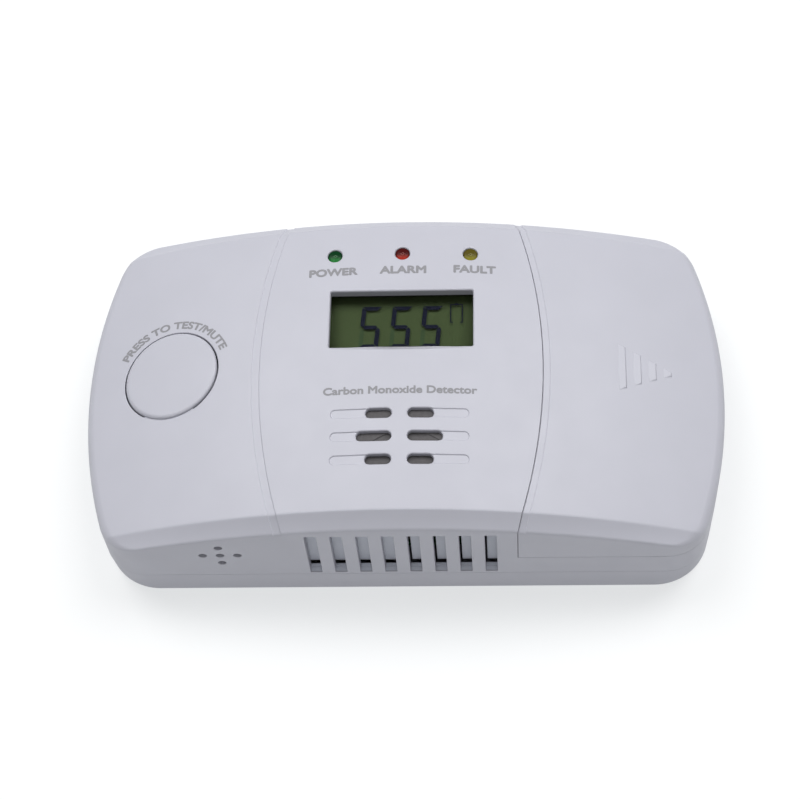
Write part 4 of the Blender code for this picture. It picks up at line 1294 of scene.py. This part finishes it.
def spring(name, x, side):
    """A coil that narrows towards its cell, with an even pitch from end to end."""
    curve = bpy.data.curves.new(name, "CURVE")
    curve.dimensions = "3D"
    curve.bevel_depth = WIRE_RADIUS * MM
    curve.bevel_resolution = 5
    curve.use_fill_caps = True
    line = curve.splines.new("POLY")
    line.points.add(SPRING_STEPS)
    for k, point in enumerate(line.points):
        share = k / SPRING_STEPS
        turn = 2 * pi * SPRING_TURNS * share
        radius = SPRING_RADIUS * (1 - SPRING_TAPER * share)
        y = side * mix(*SPRING_Y, share)
        point.co = ((x + radius * cos(turn)) * MM, y * MM, (CELL_Z + radius * sin(turn)) * MM, 1)
    return linked(name, curve)


# ---- materials -----------------------------------------------------------------------------------
class Look:
    """A Principled material under construction, with its detail in object coordinates."""

    def __init__(self, name, colour, roughness, metallic=0.0, **sockets):
        self.material = bpy.data.materials.new(name)
        self.material.use_nodes = True
        self.nodes = self.material.node_tree.nodes
        self.links = self.material.node_tree.links
        self.shader = next(n for n in self.nodes if n.type == "BSDF_PRINCIPLED")
        self.colour = colour
        self.roughness = roughness
        self.set("Base Color", (*colour, 1))
        self.set("Roughness", roughness)
        self.set("Metallic", metallic)
        for socket, value in sockets.items():
            self.set(socket.replace("_", " "), value)
        self.where = self.nodes.new("ShaderNodeTexCoord").outputs["Object"]

    def set(self, socket, value):
        self.shader.inputs[socket].default_value = value

    def node(self, kind, **inputs):
        """A new node whose inputs are given as values, or as sockets to link."""
        made = self.nodes.new("ShaderNode" + kind)
        for name, value in inputs.items():
            socket = made.inputs[name.replace("_", " ")]
            if isinstance(value, bpy.types.NodeSocket):
                self.links.new(value, socket)
            else:
                socket.default_value = value
        return made

    def noise(self, scale, detail=3.0, stretch=(1, 1, 1)):
        """A noise whose features are about scale millimetres wide."""
        place = self.node("Mapping", Vector=self.where, Scale=stretch).outputs["Vector"]
        return self.node("TexNoise", Vector=place, Scale=1 / (scale * MM), Detail=detail).outputs["Fac"]

    def spread(self, source, low, high, start=0.3, end=0.7):
        """Maps a value from start..end to low..high."""
        made = self.node("MapRange", Value=source, From_Min=start, From_Max=end, To_Min=low, To_Max=high)
        return made.outputs["Result"]

    def along(self, axis, start, end):
        """0 to 1 along an axis of the frame, between two places in millimetres."""
        parts = self.node("SeparateXYZ", Vector=self.where)
        return self.spread(parts.outputs[axis], 0, 1, start * MM, end * MM)

    def blend(self, share, other):
        """Mixes another colour over what colours the surface so far."""
        made = self.nodes.new("ShaderNodeMix")
        made.data_type = "RGBA"
        made.inputs["A"].default_value = (*self.colour, 1)
        made.inputs["B"].default_value = (*other, 1)
        base = self.shader.inputs["Base Color"]
        if base.is_linked:
            self.links.new(base.links[0].from_socket, made.inputs["A"])
        self.links.new(share, made.inputs["Factor"])
        self.links.new(made.outputs["Result"], base)
        return self

    def mottle(self, scale, shade=0.93, rough=0.06):
        """Slight unevenness of colour and gloss."""
        noise = self.noise(scale)
        self.blend(self.spread(noise, 0, 1), tuple(c * shade for c in self.colour))
        gloss = self.spread(self.noise(scale * 0.6), self.roughness - rough, self.roughness + rough)
        self.links.new(gloss, self.shader.inputs["Roughness"])
        return self

    def grain(self, scale, height, stretch=(1, 1, 1)):
        """Relief from noise: scale is its width and height its depth, in millimetres."""
        made = self.node("Bump", Distance=height * MM, Strength=1.0)
        self.links.new(self.noise(scale, 4.0, stretch), made.inputs["Height"])
        normal = self.shader.inputs["Normal"]
        if normal.is_linked:
            self.links.new(normal.links[0].from_socket, made.inputs["Normal"])
        self.links.new(made.outputs["Normal"], normal)
        return self


def white_look(name, colour=(0.41, 0.4125, 0.463), roughness=0.5):
    return Look(name, colour, roughness, Specular_IOR_Level=0.4).mottle(9, 0.975, 0.04).grain(0.35, 0.006)


def lens_look(name, lit_tint, deep):
    """Tinted epoxy with painted light and shade: darker on the side towards the top edge, and painted
    brighter on its lower side.
    """
    look = Look(name, lit_tint, 0.3, Specular_IOR_Level=0.08)
    # Painted shade: the lens darkens from its lit lower tint towards its top side.
    look.blend(look.along("Y", LED_Y - 1.2, LED_Y - 0.1), deep)
    return look.grain(0.9, 0.02)


def jacket_look():
    look = Look("cell_jacket", (0.028, 0.03, 0.034), 0.36, 0.3).mottle(6, 0.9, 0.03)
    look.blend(look.along("Y", -8.0, -8.1), (0.3, 0.31, 0.33))
    return look.grain(3, 0.002)


def plain_looks():
    """The looks that need no more than a colour, an unevenness and a grain."""
    rows = (  # name, colour, roughness and metal, then what mottle and grain take
        ("dark_abs", (0.02, 0.02, 0.022), (0.42, 0), (5, 0.8), (0.4, 0.008)),
        ("grey_abs", (0.27, 0.25, 0.24), (0.5, 0), (5, 0.85), (0.4, 0.008)),
        ("chip_resin", (0.016, 0.016, 0.018), (0.6, 0), (1.5, 0.8), (0.15, 0.008)),
        ("capacitor_sleeve", (0.01, 0.02, 0.07), (0.28, 0), (3, 0.85), (1.5, 0.01)),
        ("inductor_ferrite", (0.03, 0.028, 0.03), (0.45, 0), (1, 0.8), (0.3, 0.01)),
        ("board_laminate", (0.01, 0.11, 0.04), (0.35, 0), (2.5, 0.75), (0.8, 0.01)),
        ("display_film", (0.3, 0.33, 0.24), (0.4, 0), (4, 0.95), (0.3, 0.003)),
        ("brass_disc", (0.62, 0.44, 0.16), (0.3, 1), (3, 0.85), (0.3, 0.004, (1, 8, 1))),
        ("ceramic", (0.55, 0.55, 0.55), (0.35, 0), (2, 0.9), (0.2, 0.004)),
        ("plated_steel", (0.6, 0.6, 0.61), (0.38, 1), (2, 0.9), (0.5, 0.002)),
    )
    return {name: Look(name, colour, *gloss).mottle(*uneven).grain(*grain)
            for name, colour, gloss, uneven, grain in rows}


def make_looks():
    felt = Look("felt", (0.42, 0.42, 0.41), 0.9, Sheen_Weight=0.4)
    return {
        "white_abs": white_look("white_abs"),
        # A lit copy of the white plastic: painted light for the vent baffles and sills, which sit in
        # shade inside the vents.
        "lit_white_abs": white_look("lit_white_abs", (0.62, 0.645, 0.715)),
        "felt": felt.mottle(1, 0.8).grain(0.25, 0.06),
        "cell_jacket": jacket_look(),
        **plain_looks(),
    }


# ---- assembly ------------------------------------------------------------------------------------
def dress_carried_nodes(looks, replaced):
    """Gives every CAD node that still shows its slot's material and soft edges."""
    for name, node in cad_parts.items():
        if name in replaced:
            continue
        slot = node.data.materials[0].name.split(".")[0]
        # The vent baffle gets the lit copy of the white: painted light in its shaded recess.
        node.data.materials[0] = looks["lit_white_abs" if name == "vent_baffle" else slot]
        large = slot in ("white_abs", "board_laminate")
        soften(node, 0.12 if large else 0.08)


def make_shells(looks):
    white = looks["white_abs"]
    finish_piece(front_shell(), "casing", white, "white_abs", "front_cover")
    finish_piece(sound_screen(), "casing", screen_look(), "felt", "sound_screen")
    finish_piece(door_shell(), "battery_door", white, "white_abs", "battery_door")
    finish_piece(rear_shell(), "casing", white, "white_abs", "rear_cover")
    # The sills get the lit copy of the white: painted light on the ledge shaded inside each vent.
    finish_piece(vent_sills(), "casing", looks["lit_white_abs"], "white_abs")
    finish_piece(button_shell(), "test_button", white, "white_abs", "test_button")
    web = hinge_web()
    web.data.materials.append(white)
    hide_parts("button_hinge_web")
    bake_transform(web)


def make_display(looks):
    """The liquid-crystal cell: an olive back, segments that cast their shadow on it, and a clear pane."""
    dark = looks["dark_abs"]
    low, high = DISPLAY_PLAN
    back = block("display_back", (*low, DISPLAY_BACK_Z[0]), (*high, DISPLAY_BACK_Z[1]), 0.1)
    finish_piece(back, "casing", olive_look(), "display_film", "lcd_glass")
    pane = block("display_pane", (*low, PANE_Z[0]), (*high, PANE_Z[1]), 0.05)
    finish_piece(pane, "casing", pane_look(), "display_glass")
    ink = Look("segment_ink", (0.003, 0.004, 0.028), 0.4, Specular_IOR_Level=0.1)
    ink.mottle(1.2, 0.85, 0.03)
    finish_piece(digits("display_digits", "afgcd", SEGMENTS_TOP), "casing", ink.material, "display_film")
    finish_piece(battery_icon(), "casing", ink.material, "display_film")
    ghost = Look("segment_ghost", (0.048, 0.078, 0.04), 0.4, Specular_IOR_Level=0.1)
    ghost.mottle(1.2, 0.9, 0.03)
    finish_piece(digits("display_ghosts", "e", GHOSTS_TOP), "casing", ghost.material, "display_film")
    # Painted shade: the frame's black darkens the gap under the window's rim.
    finish_piece(display_frame(), "casing", dark, "dark_abs")


def make_lamps():
    # Each lamp's first tint is the painted light on its lower side, and its second is the painted shade
    # at its top.
    tints = (("power_led", "green_lens", (0.015, 0.16, 0.03), (0.002, 0.03, 0.008)),
             ("alarm_led", "red_lens", (0.33, 0.022, 0.01), (0.05, 0.004, 0.004)),
             ("fault_led", "yellow_lens", (0.2, 0.18, 0.015), (0.075, 0.06, 0.008)))
    for k, (node, slot, lit_tint, deep) in enumerate(tints):
        look = lens_look(slot, lit_tint, deep)
        x = (k - 1) * LED_PITCH
        finish_piece(lamp(node + "_lens", x), "casing", look.material, slot, node)
        # Painted glint: a pale mix of the lens tint that stands for the reflector and the light it
        # catches.
        glint = Look(node + "_glint", tuple(mix(c, 0.4, 0.2) for c in lit_tint), 0.4).mottle(0.3, 0.85)
        finish_piece(reflector_glint(node + "_cup", x), "casing", glint.material, slot)


def make_legends():
    ink = Look("grey_print", (0.21, 0.21, 0.225), 0.6).mottle(0.8, 0.94, 0.04)
    for text, cap, width, weight, x, base in LEGENDS:
        name = "legend_" + text.split()[0].lower()
        piece = lettering(name, text, cap, width, weight, straight(x, base))
        finish_piece(piece, "casing", ink.material, "grey_abs")
    arc = lettering("legend_test", *ARC_LEGEND, around_button(*ARC_PLACE))
    finish_piece(arc, "casing", ink.material, "grey_abs")


def make_power(looks):
    for k, (x, sign) in enumerate(CELLS, 1):
        name = f"battery_cell_{k}"
        finish_piece(cell(name + "_body", x, sign), "casing", looks["cell_jacket"], "cell_jacket", name)
        name = f"battery_spring_{k}"
        coil = spring(name + "_coil", x, -sign)
        finish_piece(coil, "casing", looks["plated_steel"], "plated_steel", name)


def screen_look():
    look = Look("sound_felt", (0.08, 0.076, 0.079), 0.85, Sheen_Weight=0.2)
    return look.mottle(0.7, 0.8, 0.05).grain(0.3, 0.04).material


def olive_look():
    look = Look("display_olive", (0.067, 0.09, 0.041), 0.45, Specular_IOR_Level=0.1)
    # Painted shade: the olive darkens towards the top of the window and towards its left edge, where the
    # cover's walls shade it.
    look.blend(look.along("Y", 14.0, 18.0), (0.04, 0.045, 0.03))
    look.blend(look.along("X", -13.0, -15.0), (0.04, 0.048, 0.022))
    return look.mottle(7, 0.94, 0.03).grain(0.5, 0.003).material


def pane_look():
    """Clear glass that lets light straight through, with a faint reflection on top."""
    look = Look("display_pane", (0.8, 0.85, 0.8), 0.05, Specular_IOR_Level=0.5)
    look.grain(2.0, 0.001)
    clear = look.node("BsdfTransparent", Color=(0.86, 0.88, 0.84, 1))
    shine = look.node("BsdfGlossy", Roughness=0.12)
    edge = look.node("LayerWeight")
    share = look.spread(edge.outputs["Facing"], 0, 0.06, 0, 1)
    mixer = look.node("MixShader")
    output = next(n for n in look.nodes if n.type == "OUTPUT_MATERIAL")
    look.links.new(share, mixer.inputs[0])
    look.links.new(clear.outputs[0], mixer.inputs[1])
    look.links.new(shine.outputs[0], mixer.inputs[2])
    look.links.new(mixer.outputs[0], output.inputs["Surface"])
    return look.material


# ---- studio --------------------------------------------------------------------------------------
CAMERA_PLACE = (23.195, -214.205, 413.735)
CAMERA_RIGHT = (0.99850308, 0.01498392, -0.05260314)
CAMERA_UP = (0.01170732, 0.88090393, 0.47315029)
CAMERA_LENS = 98.08
FLOOR_RINGS = (300, 800, 1600, 2400, 3000)
FLOOR_FLAT = 1600
FLOOR_CLIMB = 0.00025
FLOOR_GAP = 0.05
FLOOR_GLOW = 0.63
SKY = 0.21
LIGHTS = (("key_left", (-0.5, 0.46, 1.3), (0.6, 0.9), 13.1),
          ("key_right", (0.52, 0.46, 1.3), (0.6, 0.9), 13.6),
          ("front_fill", (0, -0.75, 1.5), (1.4, 0.7), 5.0))  # place and size in metres, power in watts
LIGHT_TARGET = (0, 0, 0.02)


def make_camera():
    data = bpy.data.cameras.new("camera")
    data.lens = CAMERA_LENS
    data.sensor_width = 36
    data.clip_start = 0.01
    camera = linked("camera", data)
    right, up = Vector(CAMERA_RIGHT), Vector(CAMERA_UP)
    turn = Matrix((right, up, right.cross(up))).transposed()
    camera.matrix_world = Matrix.Translation(Vector(CAMERA_PLACE) * MM) @ turn.to_4x4()
    bpy.context.scene.camera = camera


def area_light(name, place, size, power):
    data = bpy.data.lights.new(name, "AREA")
    data.shape = "RECTANGLE"
    data.size, data.size_y = size
    data.energy = power
    light = linked(name, data)
    light.location = place
    light.rotation_euler = (Vector(LIGHT_TARGET) - Vector(place)).to_track_quat("-Z", "Y").to_euler()


def make_floor():
    """A broad pale sheet, a hair under the object, that rises slowly at its far edges."""
    steps = 48
    points = []
    for r in FLOOR_RINGS:
        z = FLOOR_CLIMB * max(r - FLOOR_FLAT, 0) ** 2 - FLOOR_GAP
        points += [(x, y, z) for x, y in circle(0, 0, r, steps)]
    faces = [(j + k, j + steps + k, j + steps + (k + 1) % steps, j + (k + 1) % steps)
             for j in range(0, len(points) - steps, steps) for k in range(steps)]
    faces.append(tuple(range(steps)))
    floor = add_mesh("floor", points, faces)
    look = Look("floor_paper", (0.3, 0.3, 0.3), 0.8, Specular_IOR_Level=0.1, Emission_Strength=FLOOR_GLOW)
    look.set("Emission Color", (0.97, 0.99, 1, 1))
    look.mottle(60, 0.995, 0.02)
    floor.data.materials.append(look.material)


def make_world():
    world = bpy.data.worlds.new("studio")
    world.use_nodes = True
    background = next(n for n in world.node_tree.nodes if n.type == "BACKGROUND")
    background.inputs["Color"].default_value = (1, 1, 1, 1)
    background.inputs["Strength"].default_value = SKY
    bpy.context.scene.world = world
    bpy.context.scene.view_settings.view_transform = "Standard"


def make_studio():
    make_camera()
    make_floor()
    make_world()
    for light in LIGHTS:
        area_light(*light)


def main():
    looks = {name: look.material for name, look in make_looks().items()}
    make_shells(looks)
    make_display(looks)
    make_lamps()
    make_legends()
    make_power(looks)
    replaced = ("front_cover", "rear_cover", "battery_door", "test_button", "button_hinge_web",
                "lcd_glass", "power_led", "alarm_led", "fault_led", "battery_cell_1", "battery_cell_2",
                "battery_spring_1", "battery_spring_2", "sound_screen")
    dress_carried_nodes(looks, replaced)
    make_studio()


main()
